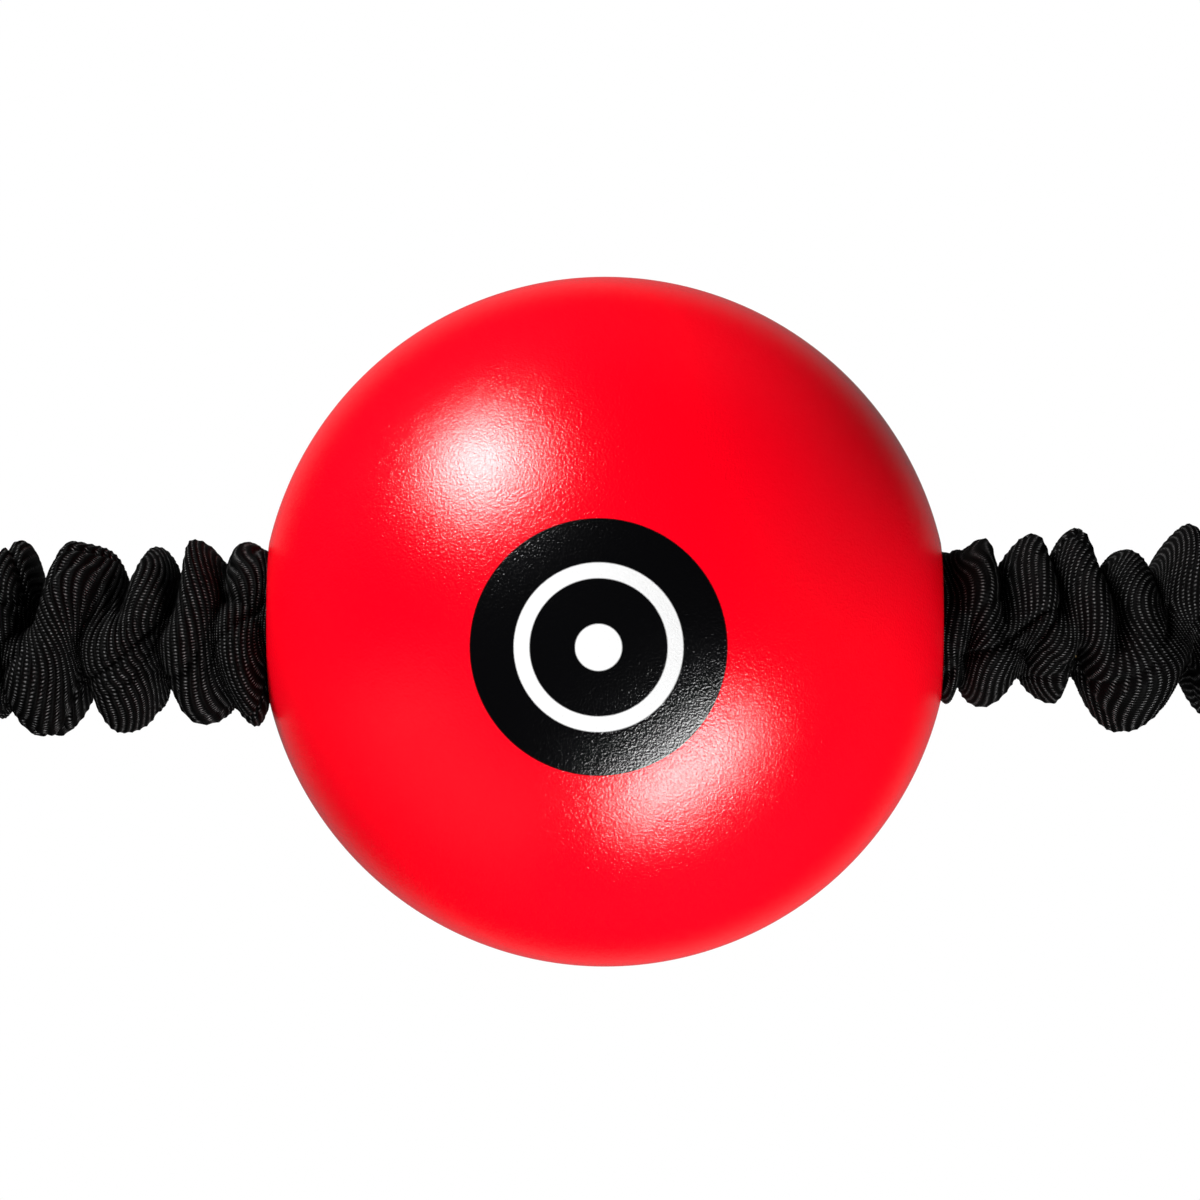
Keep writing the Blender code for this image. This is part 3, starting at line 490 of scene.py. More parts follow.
for side, sign in SIDES.items():
    line = tether_route(side, sign, SLEEVE_BALL_END, SLEEVE_CUFF_END)
    length = sum((b - a).length for a, b in zip(line, line[1:], strict=False))
    points, cloth = gathered_grid(side, sign, length)
    sleeve = tube_piece(
        side + "_gathered_sleeve",
        points,
        np.arange(PLACES + 1) / PLACES * YARNS_AROUND * YARN,
        cloth,
        sleeve_cloth,
        capped=False,
    )
    core_line = tether_route(side, sign, ELASTIC_BALL_END, ELASTIC_CUFF_END)[::8]
    route = route_table(core_line, sign)
    middle, sideways, up = at_distance(route, route[0][:, None] + np.zeros((1, 20)))
    turn = np.arange(20) / 20 * math.tau
    core = middle + ELASTIC_RADIUS * (sideways * np.cos(turn)[:, None] + up * np.sin(turn)[:, None])
    elastic = tube_piece(side + "_latex_cord", core, np.arange(21) / 20 * 20.1, route[0] / MM, latex)
    for piece, node, finish in ((sleeve, "sleeve", "black_sleeve"), (elastic, "elastic", "latex")):
        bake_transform(piece)
        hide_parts(side + "_" + node)


# The ball. A hollow rubber ball, moulded in one glossy red skin with a faint orange-peel grain, with
# a round mouth at each pole for the tethers. An aiming mark is pad-printed on its front.

SKIN = 2.5 * MM
MOUTH_LIP = 0.5 * MM
PLACES_ROUND = 160
SKIN_RED = "#fc0018"
PEEL_SCALE = 4600.0  # bumps about 0.22 mm across
MARK_CENTRE = (ball_centre.x - 0.6 * MM, ball_centre.y - 2.2 * MM, ball_centre.z)
MARK_RADIUS = 11.6 * MM
RING_OUTER, RING_INNER = 7.6 * MM, 6.2 * MM
DOT_RADIUS = 2.1 * MM
INK_EDGE = 0.06 * MM


def ball_section():
    """Half the skin's section as (x, radius): outside, round the lip of each mouth, and back inside."""
    inner = ball_radius - SKIN
    first = math.asin((BORE_RADIUS + MOUTH_LIP) / ball_radius)
    outside = [(ball_radius, first + (math.pi - 2 * first) * i / 110) for i in range(111)]
    first = math.asin(BORE_RADIUS / inner)
    inside = [(inner, math.pi - first - (math.pi - 2 * first) * i / 24) for i in range(25)]
    section = [(r * math.cos(a), r * math.sin(a)) for r, a in outside]
    lip_x = math.sqrt(ball_radius**2 - (BORE_RADIUS + MOUTH_LIP) ** 2)
    lip = []
    for angle in (25, 50, 75):
        sine, cosine = math.sin(math.radians(angle)), math.cos(math.radians(angle))
        lip.append((lip_x - MOUTH_LIP * (1 - cosine) * 0.9, BORE_RADIUS + MOUTH_LIP * (1 - sine)))
    mirrored = [(-x, r) for x, r in lip]
    return section + mirrored + [(r * math.cos(a), r * math.sin(a)) for r, a in inside] + lip[::-1]


def weld(piece):
    """Joins the points that coincide and turns the faces outwards."""
    merged = bmesh.new()
    merged.from_mesh(piece.data)
    bmesh.ops.remove_doubles(merged, verts=merged.verts, dist=1e-7)
    bmesh.ops.recalc_face_normals(merged, faces=merged.faces)
    merged.to_mesh(piece.data)
    merged.free()


def turned_piece(name, section, around, finish):
    """A closed section of (x, radius) points turned about the ball's own axis."""
    section, turn = np.array(section), np.arange(around) / around * math.tau
    sideways = np.broadcast_to(section[:, :1], (len(section), around))
    grid = np.stack([sideways, section[:, 1:] * np.cos(turn), section[:, 1:] * np.sin(turn)], -1)
    grid = np.concatenate([grid, grid[:1]]) + np.array(ball_centre)
    piece = tube_piece(name, grid, np.arange(around + 1), np.arange(len(grid)), finish, False)
    weld(piece)
    return piece


def red_rubber():
    """Glossy moulded rubber, saturated red, with a pad-printed aiming mark facing +Z."""
    made, tree, shader = substance("glossy_rubber", SKIN_RED, 0.18)
    place = add(tree, "TexCoord").outputs["Object"]
    local = add(tree, "VectorMath", {0: place, 1: MARK_CENTRE}, operation="SUBTRACT")
    parts = add(tree, "SeparateXYZ", {0: local})
    flat = add(tree, "CombineXYZ", {0: parts.outputs[0], 1: parts.outputs[1]})
    distance = add(tree, "VectorMath", {0: flat}, operation="LENGTH").outputs["Value"]
    front = add(tree, "Math", {0: parts.outputs[2], 1: 0.0}, operation="GREATER_THAN")

    def inside(radius):
        """1 inside a printed disc, falling over the ink's soft edge."""
        edge = {"Value": distance, "From Min": radius - INK_EDGE, "From Max": radius + INK_EDGE}
        return add(tree, "MapRange", {**edge, "To Min": 1.0, "To Max": 0.0})

    ring = add(tree, "Math", {0: inside(RING_OUTER), 1: inside(RING_INNER)}, operation="SUBTRACT")
    pale = add(tree, "Math", {0: ring, 1: inside(DOT_RADIUS)}, operation="ADD")
    white = add(tree, "Math", {0: pale, 1: front}, operation="MULTIPLY")
    black = add(tree, "Math", {0: inside(MARK_RADIUS), 1: front}, operation="MULTIPLY")
    inked = add(tree, "Mix", {0: black, 6: linear(SKIN_RED), 7: linear("#050506")}, data_type="RGBA")
    printed = add(tree, "Mix", {0: white, 6: inked.outputs[2], 7: linear("#dedede")}, data_type="RGBA")
    tree.links.new(printed.outputs[2], shader.inputs["Base Color"])
    grain = add(tree, "TexNoise", {"Vector": place, "Scale": PEEL_SCALE, "Detail": 2.0})
    peel = add(tree, "Bump", {"Height": grain.outputs["Fac"], "Strength": 1.0, "Distance": 0.05 * MM})
    tree.links.new(peel.outputs[0], shader.inputs["Normal"])
    return made


skin = turned_piece("moulded_ball_skin", ball_section(), PLACES_ROUND, red_rubber())
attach(skin, "ball")
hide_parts("ball_skin")


# The ball's inside. A moulded foam core gives it its weight, and a nylon tube runs through the core
# from pole to pole. A flanged bush is pressed into each end, and the tether's collar turns on it.


def clad(finish, *nodes):
    """Gives carried-over CAD pieces this finish."""
    for node in nodes:
        for place in frame["nodes"][node].material_slots:
            place.material = finish


def grained(name, colour, roughness, size, depth, **sockets):
    """A material with a fine irregular grain, size millimetres across."""
    made, tree, shader = substance(name, colour, roughness, **sockets)
    place = add(tree, "TexCoord")
    grain = add(tree, "TexNoise", {"Vector": place.outputs["Object"], "Scale": 1000 / size, "Detail": 3.0})
    rough = {"Value": grain.outputs["Fac"], "To Min": roughness - 0.06, "To Max": roughness + 0.08}
    tree.links.new(add(tree, "MapRange", rough).outputs[0], shader.inputs["Roughness"])
    bump = add(tree, "Bump", {"Height": grain.outputs["Fac"], "Strength": 0.6, "Distance": depth * MM})
    tree.links.new(bump.outputs[0], shader.inputs["Normal"])
    return made


# Injection-moulded nylon: off-white and slightly waxy, with a faint satin grain from the mould.
waxy = {"Subsurface_Weight": 0.1, "Subsurface_Scale": 1 * MM}
moulded_nylon = grained("moulded_nylon", "#e9e6dc", 0.42, 0.5, 0.02, **waxy)
# Turned and crimped stainless steel: bright, with fine uneven tool marks.
crimped_steel = grained("crimped_steel", "#c4c4c2", 0.28, 0.25, 0.01, Metallic=1.0)
clad(moulded_nylon, "core_tube", "left_bush", "right_bush", "left_collar", "right_collar")
clad(crimped_steel, "left_ball_ferrule", "right_ball_ferrule", "left_end_ferrule", "right_end_ferrule")

# Self-skinned polyurethane foam: white, closed over, with the pits of small bubbles.
foam, tree, shader = substance("self_skinned_foam", "#e4e1d8", 0.85)
place = add(tree, "TexCoord")
bubbles_per_metre = 1100.0
cells = add(tree, "TexVoronoi", {"Vector": place.outputs["Object"], "Scale": bubbles_per_metre})
pits = add(tree, "MapRange", {"Value": cells.outputs["Distance"], "From Max": 0.5})
pitted = add(tree, "Bump", {"Height": pits.outputs[0], "Strength": 0.7, "Distance": 0.2 * MM})
tree.links.new(pitted.outputs[0], shader.inputs["Normal"])

CORE_RADIUS = ball_radius - SKIN - 0.6 * MM
CORE_BORE = 10.7 * MM
first = math.asin(CORE_BORE / CORE_RADIUS)
sweep = [first + (math.pi - 2 * first) * i / 48 for i in range(49)]
outline = [(CORE_RADIUS * math.cos(a), CORE_RADIUS * math.sin(a)) for a in sweep]
core = turned_piece("foam_ball_core", outline, 96, foam)
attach(core, "ball")
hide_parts("foam_core")


# The clasps. Each is a swivel snap hook of nickel-plated zinc: a cast hook with its shoulder and barrel
# in one, a sprung gate on a pin, and an eye that turns in the barrel on a headed post.


def on_clasp(side, x, distance, z=0.0):
    """A point of a clasp, in millimetres: x outwards, distance down it from the ring's arc."""
    return CLASPS[side] @ Vector((SIDES[side] * x * MM, -distance * MM, z * MM))


def wire_shell(route, radii, sides, closed=False):
    """Points and faces of a round wire along a route."""
    count = len(route)
    points, faces = [], []
    ahead = [(route[(i + 1) % count] - route[i - 1]).normalized() for i in range(count)]
    if not closed:
        ahead[0], ahead[-1] = (route[1] - route[0]).normalized(), (route[-1] - route[-2]).normalized()
    frames = [ahead[0].to_track_quat("Z", "Y").to_matrix()]
    for before, after in zip(ahead, ahead[1:], strict=False):
        frames.append(before.rotation_difference(after).to_matrix() @ frames[-1])
    for middle, facing, radius in zip(route, frames, radii, strict=True):
        for k in range(sides):
            angle = math.tau * k / sides
            points.append(middle + facing @ Vector((radius * math.cos(angle), radius * math.sin(angle), 0)))
    shift = 0
    if closed:
        ends = [(points[k] - points[(count - 1) * sides]).length for k in range(sides)]
        shift = ends.index(min(ends))
    for i in range(count if closed else count - 1):
        over = shift if i == count - 1 else 0
        for k in range(sides):
            a, b = i * sides + k, i * sides + (k + 1) % sides
            there = (i + 1) % count * sides
            faces.append((a, b, there + (k + 1 + over) % sides, there + (k + over) % sides))
    if not closed:
        faces.append(tuple(range(sides))[::-1])
        faces.append(tuple(range((count - 1) * sides, count * sides)))
    return points, faces


def arc_points(x, distance, radius, start, end, steps):
    """Points (x, distance) on an arc in a clasp's plane."""
    angles = [math.radians(start + (end - start) * i / steps) for i in range(steps + 1)]
    return [(x + radius * math.cos(a), distance + radius * math.sin(a)) for a in angles]


def round_bar(side, stations, sides=32):
    """A shell turned about the clasp's own length, from (distance, radius) stations."""
    route = [on_clasp(side, 0, distance) for distance, _ in stations]
    return wire_shell(route, [radius * MM for _, radius in stations], sides)


def bar_block(side, low, high):
    """A plain block between two corners (x, distance, z) of a clasp."""
    across, down, up = zip(low, high, strict=True)
    corners = [on_clasp(side, x, d, z) for z in up for d in down for x in across]
    return corners, [(0, 1, 3, 2), (4, 6, 7, 5), (0, 4, 5, 1), (2, 3, 7, 6), (0, 2, 6, 4), (1, 5, 7, 3)]


def cast(name, shells, finish, voxel=0.24, cut=None):
    """Shells melted into one casting, its inner corners softened, with a last shell cut out of it."""
    points, faces = [], []
    for shell_points, shell_faces in shells:
        faces += [tuple(len(points) + i for i in face) for face in shell_faces]
        points += shell_points
    piece = mesh_piece(name, points, faces, finish)
    weld(piece)
    melt = piece.modifiers.new("melt", "REMESH")
    melt.mode = "VOXEL"
    melt.voxel_size = voxel * MM
    melt.use_smooth_shade = True
    ease = piece.modifiers.new("ease", "SMOOTH")
    ease.factor, ease.iterations = 0.5, 5
    if cut is not None:
        cutter = mesh_piece(name + "_cutter", *cut, finish)
        weld(cutter)
        bore = piece.modifiers.new("bore", "BOOLEAN")
        bore.operation, bore.object = "DIFFERENCE", cutter
    bpy.context.view_layer.update()
    final = bpy.data.meshes.new_from_object(piece.evaluated_get(bpy.context.evaluated_depsgraph_get()))
    if cut is not None:
        bpy.data.objects.remove(cutter)
    piece.modifiers.clear()
    piece.data = final
    final.shade_smooth()
    final.set_sharp_from_angle(angle=math.radians(50))
    return piece


# Nickel plate over cast zinc: bright and slightly yellow, softly uneven like a tumbled casting.
nickel_plate = grained("nickel_plate", "#cfccc4", 0.2, 1.4, 0.03, Metallic=1.0)

HOOK_SPAN = 5.4  # the hook's arms, from the clasp's middle line
HOOK_WIRE = 1.4
HOOK_BEND = 10.4
HOOK_TIP = 11.9
SHOULDER = (21, 26)  # from and to, down the clasp
SHOULDER_HALF = (6.4, 3.2)
POST = 1.6
SLOT_HALF = 1.6  # the gate's slot
BARREL = [(21.4, 3.4), (28.4, 3.4), (28.7, 3.05), (29.3, 3.05), (29.6, 3.4), (30.9, 3.4), (31, 3.2)]
PIVOT = (4.7, 23.6)
for side in SIDES:
    bend = arc_points(0, HOOK_BEND, HOOK_SPAN, 0, -180, 36)
    line = [(HOOK_SPAN, HOOK_TIP), *bend, (-HOOK_SPAN, 14), (-HOOK_SPAN, 18), (-HOOK_SPAN, 23.5)]
    hook = [on_clasp(side, x, d) for x, d in line]
    girth = [HOOK_WIRE * MM] * (len(line) - 3) + [1.45 * MM, 1.6 * MM, 1.9 * MM]
    low, high = SHOULDER
    wide, deep = SHOULDER_HALF
    shells = [
        wire_shell(hook, girth, 28),
        bar_block(side, (-wide, low, -deep), (2.35, high, deep)),
        bar_block(side, (-wide, low, SLOT_HALF), (wide, high, deep)),
        bar_block(side, (-wide, low, -deep), (wide, high, -SLOT_HALF)),
        round_bar(side, BARREL),
    ]
    bore = round_bar(side, [(20, 2.6), (22.7, 2.6), (22.7, 1.9), (32, 1.9)])
    body = cast(side + "_cast_hook", shells, nickel_plate, cut=bore)
    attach(body, "clasps")
    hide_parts(side + "_clasp_body")
    # The eye: a bent wire loop, brazed to its post.
    bend = 1.6
    wide, near, far = 8.6, 33.2, 39.0
    loop = arc_points(wide - bend, far - bend, bend, 0, 90, 6)
    loop += arc_points(bend - wide, far - bend, bend, 90, 180, 6)
    loop += arc_points(bend - wide, near + bend, bend, 180, 270, 6)
    loop += arc_points(wide - bend, near + bend, bend, 270, 354, 6)
    shells = [
        wire_shell([on_clasp(side, x, d) for x, d in loop], [1.2 * MM] * len(loop), 24, closed=True),
        round_bar(side, [(23.0, POST), (31.6, POST), (32.0, 2.1), (32.6, 2.3), (33.6, 2.0)]),
        round_bar(side, [(21.0, 2.0), (21.15, 2.25), (22.3, 2.3), (22.4, 2.2)]),
        round_bar(side, [(22.2, POST), (23.4, POST)]),
    ]
    eye = cast(side + "_swivel_loop", shells, nickel_plate, voxel=0.18)
    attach(eye, side + "_swivel_end")
    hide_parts(side + "_swivel_eye")
    # The gate: a flat lever with a ridged thumb piece, turning on its pin.
    half = 1.2
    nose, pivot = HOOK_TIP + 0.3, PIVOT[1]
    front = HOOK_SPAN + half
    outline = [(HOOK_SPAN - half, nose), (front, nose), (front, 17.6), (front + 0.9, 18.3)]
    outline += [(front + 0.7, 18.8), (front + 1.5, 19.3), (front + 1.3, 19.8), (front + 1.8, 20.3)]
    outline += [(front + 1.7, 21.2), (front, 21.9), *arc_points(PIVOT[0], pivot, 2.1, 10, 170, 14)]
    outline.append((HOOK_SPAN - half, 21.2))
    points = [on_clasp(side, x, d, z) for z in (-1.3, 1.3) for x, d in outline]
    count = len(outline)
    faces = [(i, (i + 1) % count, count + (i + 1) % count, count + i) for i in range(count)]
    faces += [tuple(range(count))[::-1], tuple(range(count, 2 * count))]
    gate = mesh_piece(side + "_sprung_gate", points, faces, nickel_plate)
    weld(gate)
    edge = gate.modifiers.new("edge", "BEVEL")
    edge.width, edge.segments, edge.limit_method = 0.35 * MM, 3, "ANGLE"
    gate.data.set_sharp_from_angle(angle=math.radians(60))
    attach(gate, side + "_gate")
    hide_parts(side + "_clasp_gate")
    # The pin is a headed rivet.
    stations = [(-4.0, 0.5), (-3.9, 1.15), (-3.5, 1.25), (-3.3, 1.2), (-3.3, 0.8), (3.3, 0.8), (3.3, 1.2)]
    stations += [(3.5, 1.25), (3.9, 1.15), (4.0, 0.5)]
    rivet = [on_clasp(side, PIVOT[0], PIVOT[1], z) for z, _ in stations]
    pin = mesh_piece(side + "_rivet", *wire_shell(rivet, [r * MM for _, r in stations], 24), nickel_plate)
    weld(pin)
    pin.data.set_sharp_from_angle(angle=math.radians(50))
    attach(pin, "clasps")
    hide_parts(side + "_gate_pin")


# The D-rings. Nickel-plated steel wire, bent to a D and butt-welded in the middle of its straight bar.

RING_WIRE = 1.3
RING_RADIUS = 9.0
RING_DEPTH = 4.0
RING_CORNER = 2.2
RING_YAW = math.radians(12)
for side, sign in SIDES.items():
    bar = Vector(joints[side + "_ring_flip"]["pos_m"])
    outline = arc_points(RING_CORNER, RING_RADIUS - RING_CORNER, RING_CORNER, 180, 90, 8)
    outline += arc_points(RING_DEPTH, 0, RING_RADIUS, 90, -90, 36)
    outline += arc_points(RING_CORNER, RING_CORNER - RING_RADIUS, RING_CORNER, -90, -180, 8)
    outline += [(0, up) for up in (-5, -3, -1.2, -0.5, 0, 0.5, 1.2, 3, 5)]
    route = []
    for ahead, up in outline:
        swung = Matrix.Rotation(sign * RING_YAW, 3, "Z") @ Vector((0, -ahead * MM, up * MM))
        route.append(bar + swung)
    radii = [RING_WIRE * MM] * len(route)
    radii[-5] = 1.42 * MM  # the weld's bead
    ring = mesh_piece(side + "_welded_ring", *wire_shell(route, radii, 28, closed=True), nickel_plate)
    weld(ring)
    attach(ring, side + "_ring")
    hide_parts(side + "_d_ring")


# The webbing. Nylon tape folded round each clasp's eye and moulded into the cuff, and a shorter tape
# folded round each D-ring's bar and sewn down to the headband.


def around(shape):
    """The distance round a closed outline at each of its points and back to the first, in millimetres."""
    closed = np.concatenate([shape, shape[:1]])
    return np.concatenate(([0], np.cumsum(np.linalg.norm(np.diff(closed, axis=0), axis=1)))) / MM


def rounded(inner, outer, low, high, radius, rows=12):
    """A flat strip's outline as (offset, z), with rounded edges and rows of points along its faces."""
    points = []
    for x, z, start in (
        (outer - radius, low + radius, -90),
        (outer - radius, high - radius, 0),
        (inner + radius, high - radius, 90),
        (inner + radius, low + radius, 180),
    ):
        for i in range(5):
            angle = math.radians(start + i * 22.5)
            points.append((x + radius * math.cos(angle), z + radius * math.sin(angle)))
        if start == 0 or start == 180:
            continue
        ahead = (outer, high - radius) if start == -90 else (inner, low + radius)
        here = points[-1]
        points += [(ahead[0], here[1] + (ahead[1] - here[1]) * i / rows) for i in range(1, rows)]
    return points


def tape(name, path, across, low, high, thickness, finish):
    """Flat webbing along a path of points, from low to high along the direction across."""
    section = rounded(-thickness / 2, thickness / 2, low, high, thickness * 0.42)
    grid, along = [], [0.0]
    for i, point in enumerate(path):
        before, after = path[max(i - 1, 0)], path[min(i + 1, len(path) - 1)]
        outward = (after - before).cross(across).normalized()
        grid.append([tuple(point + outward * offset + across * z) for offset, z in section])
        if i:
            along.append(along[-1] + (point - path[i - 1]).length / MM)
    piece = tube_piece(name, np.array(grid), around(np.array(section)), along, finish)
    weld(piece)
    return piece


def thread_rows(name, rows, finish, pitch=3.0, length=2.3, radius=0.17):
    """Rows of lockstitches. A row is points and their outward directions, closely spaced."""
    points, faces = [], []
    for line, outward in rows:
        line, outward = np.array(line), np.array(outward)
        along = np.concatenate(([0], np.cumsum(np.linalg.norm(np.diff(line, axis=0), axis=1)))) / MM
        for start in np.arange(0.3, along[-1] - length, pitch):
            spots = start + length * np.linspace(0, 1, 6)
            middle = [Vector([np.interp(s, along, line[:, i]) for i in range(3)]) for s in spots]
            out = [Vector([np.interp(s, along, outward[:, i]) for i in range(3)]) for s in spots]
            lift = [(-0.16, 0.06, 0.13, 0.13, 0.06, -0.16)[i] * MM for i in range(6)]
            middle = [m + o.normalized() * h for m, o, h in zip(middle, out, lift, strict=True)]
            shell_points, shell_faces = wire_shell(middle, [radius * MM] * 6, 7)
            faces += [tuple(len(points) + i for i in face) for face in shell_faces]
            points += shell_points
    return mesh_piece(name, points, faces, finish)


# Nylon webbing: dull black, its weft ribs standing across it and each rib dotted with warp ends, their tops
# lighter with a painted highlight.
webbing = woven("nylon_webbing", 1.1, 0.8, "#0a0a0b", "#3a3a3c", 0.6, 0.2)
# Bonded nylon thread: a shade lighter than the tape, with a slight shine.
thread = grained("bonded_thread", "#26262a", 0.4, 0.2, 0.03)
TAPE = 1.2
EYE_FAR = 39.0
LOOP_TAIL = 54.5
for side, sign in SIDES.items():
    fold = 1.2 + 0.3 + TAPE / 2
    apart = (TAPE + 0.3) / 2
    layer = [(LOOP_TAIL, apart), (EYE_FAR + 9, apart), (EYE_FAR + 6, apart), (EYE_FAR + 2.5, 0.75 * fold)]
    bends = (0.15, 0.6, 1.1, 1.57, 2.04, 2.54, 2.99)
    outline = layer + [(EYE_FAR - fold * math.sin(a), fold * math.cos(a)) for a in bends]
    outline += [(d, -z) for d, z in reversed(layer)]
    path = smooth_route([on_clasp(side, 0, d, z) for d, z in outline], 0.5 * MM)
    across = (CLASPS[side].to_3x3() @ Vector((1, 0, 0))).normalized()
    loop = tape(side + "_clasp_tape", path, across, -7 * MM, 7 * MM, TAPE * MM, webbing)
    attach(loop, side + "_swivel_end")
    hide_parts(side + "_webbing_loop")
    out = (CLASPS[side].to_3x3() @ Vector((0, 0, 1))).normalized()
    rows = []
    for distance in (42.6, 45.2):
        for face in (1, -1):
            lift = 0.75 * fold if distance < 43 else 0.62 * fold
            line = [on_clasp(side, x, distance, face * (lift + TAPE / 2)) for x in np.linspace(-6, 6, 25)]
            rows.append((line, [out * face] * 25))
    sewn = thread_rows(side + "_clasp_stitches", rows, thread)
    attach(sewn, side + "_swivel_end")

BAND_CENTRE = Vector((0, 0.1087, 0))
BAND_HALF_WIDTH = 74.0
BAND_HALF_LENGTH = 86.0
SHELL_OUTER = 3.3


def band_point(turn, offset, z=0.0):
    """A point this many degrees round the headband from the forehead, offset and z in millimetres."""
    sine, cosine = math.sin(math.radians(turn)), math.cos(math.radians(turn))
    outward = Vector((BAND_HALF_LENGTH * sine, -BAND_HALF_WIDTH * cosine, 0)).normalized()
    middle = Vector((BAND_HALF_WIDTH * sine, -BAND_HALF_LENGTH * cosine, z))
    return BAND_CENTRE + (middle + offset * outward) * MM


def band_outward(turn):
    """The direction straight out of the band's face at this place."""
    return (band_point(turn, 1) - band_point(turn, 0)).normalized()


RING_TURN = 70
RING_TAB_LENGTH = 24
PER_DEGREE = math.radians(1) * BAND_HALF_LENGTH
for side, sign in SIDES.items():
    under = SHELL_OUTER + 0.3 + TAPE / 2
    over = under + TAPE + 0.3
    bar = SHELL_OUTER + 0.6 + TAPE + RING_WIRE
    fold = RING_WIRE + 0.3 + TAPE / 2
    path = [(back, under) for back in (RING_TAB_LENGTH, RING_TAB_LENGTH * 0.7, RING_TAB_LENGTH / 2, 5)]
    path += [(-x, y) for x, y in arc_points(0, bar, fold, -90, 90, 14)]
    path += [(2.6, bar + 0.93 * fold), (5.4, over + 0.55 * (bar + fold - over)), (8.2, over + 0.12)]
    path += [(9.6, over), (14, over), (18, over), (21, over), (RING_TAB_LENGTH, over)]
    points = [band_point(RING_TURN + back / PER_DEGREE, offset) for back, offset in path]
    line = smooth_route([Vector((sign * p.x, p.y, p.z)) for p in points], 0.4 * MM)
    tab = tape(side + "_ring_tape", line, Vector((0, 0, 1)), 17.5 * MM, 32.5 * MM, TAPE * MM, webbing)
    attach(tab, "headband")
    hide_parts(side + "_ring_tab")
    # A box of stitches with a cross in it holds the tab down.
    rows = []
    low, high, near, far = 19.2, 30.8, 10.4, 22.6
    for start, end in (
        ((near, low), (near, high)),
        ((far, low), (far, high)),
        ((near, low), (far, low)),
        ((near, high), (far, high)),
        ((near, low), (far, high)),
        ((near, high), (far, low)),
    ):
        line, out = [], []
        for share in np.linspace(0, 1, 25):
            back = start[0] + (end[0] - start[0]) * share
            place = RING_TURN + back / PER_DEGREE
            at = band_point(place, over + TAPE / 2, start[1] + (end[1] - start[1]) * share)
            facing = band_outward(place)
            line.append((sign * at.x, at.y, at.z))
            out.append((sign * facing.x, facing.y, facing.z))
        rows.append((line, out))
    sewn = thread_rows(side + "_ring_tab_stitches", rows, thread, pitch=2.6, length=2.0)
    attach(sewn, "headband")


# The cuffs. Each is moulded in black rubber over the end of a sleeve, round and ribbed where it grips
# the sleeve and flat where the webbing comes out.

# Moulded rubber: soft black, with a fine satin texture from the mould.
moulded_rubber = grained("moulded_rubber", "#121212", 0.5, 0.35, 0.03, Specular_IOR_Level=0.4)
CUFF_START, CUFF_END = 47.0, 75.0
RIDGES_FROM, RIDGES_TO, RIDGE_PITCH = 61.5, 73.5, 2.4
CUFF_STATIONS = (
    (0.0, 8.4, 2.6),
    (0.008, 8.8, 2.95),
    (0.03, 9.3, 3.4),
    (0.06, 9.6, 3.6),
    (0.30, 9.6, 5.2),
    (0.50, 8.7, 7.5),
    (0.64, 8.7, 8.5),
    (1.0, 8.7, 8.7),
)
CUFF_LIP = ((74.55, 8.66), (74.8, 8.5), (74.95, 8.2), (75.0, 7.9), (74.9, 7.6), (74.6, 7.35), (74, 7.2))
CUFF_POCKET = ((70, 7.2), (66.0, 7.2), (66.0, 5.4), (57.0, 5.4), (57.0, 3.4))
for side in SIDES:
    turn = np.arange(72) / 72 * math.tau
    cosine, sine = np.cos(turn), np.sin(turn)
    shares, wide, high = np.array(CUFF_STATIONS).T
    grid, along = [], []
    for share in np.concatenate((np.linspace(0, 0.06, 8), np.linspace(0.07, 0.975, 120))):
        distance = CUFF_START + share * (CUFF_END - CUFF_START)
        power = 0.72 + 0.28 * min(1, share / 0.5)
        ridge = 0
        if RIDGES_FROM < distance < RIDGES_TO:
            ridge = 0.42 * (0.5 - 0.5 * math.cos((distance - RIDGES_FROM) / RIDGE_PITCH * math.tau))
        across = np.interp(share, shares, wide) - ridge
        up = np.interp(share, shares, high) - ridge
        x = across * np.sign(cosine) * np.abs(cosine) ** power
        z = up * np.sign(sine) * np.abs(sine) ** power
        grid.append([on_clasp(side, a, distance, b) for a, b in zip(x, z, strict=True)])
        along.append(distance)
    inner = [(distance, radius, distance) for distance, radius in CUFF_LIP]
    inner += [(distance, radius, 2 * CUFF_END - distance) for distance, radius in CUFF_POCKET]
    for distance, radius, travelled in inner:
        ring = zip(radius * cosine, radius * sine, strict=True)
        grid.append([on_clasp(side, a, distance, b) for a, b in ring])
        along.append(travelled)
    cuff = tube_piece(side + "_moulded_cuff", np.array(grid), np.arange(73), along, moulded_rubber)
    weld(cuff)
    cuff.data.set_sharp_from_angle(angle=math.radians(70))
    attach(cuff, side + "_swivel_end")
    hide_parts(side + "_end_cuff")


# The headband. A foam pad is covered by a knitted shell outside and a brushed lining inside, and both
# long edges are bound with folded tape. Silicone lines keep it from slipping on the forehead.


def band_piece(name, node, turns, section, finish, slot, body="headband", wave=0.0):
    """A strip round the band. section(turn) gives its outline as (offset, z) in millimetres."""
    dice = np.random.default_rng(len(name))
    swells = [(dice.uniform(0.03, 0.11), dice.uniform(0.02, 0.1), dice.uniform(0, 6)) for _ in range(4)]
    grid, along = [], [0.0]
    for i, turn in enumerate(turns):
        line = []
        for offset, z in section(turn):
            lift = wave * sum(math.sin(turn * a * 8 + z * b * 3 + c) for a, b, c in swells) / 4
            line.append(tuple(band_point(turn, offset + lift, z)))
        grid.append(line)
        if i:
            along.append(along[-1] + (band_point(turn, 0) - band_point(turns[i - 1], 0)).length / MM)
    lap = around(np.array(section(turns[0])) * MM)
    piece = tube_piece(name, np.array(grid), lap, along, finish)
    weld(piece)
    piece.data.set_sharp_from_angle(angle=math.radians(60))
    if body:
        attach(piece, body)
    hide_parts(node)
    return piece


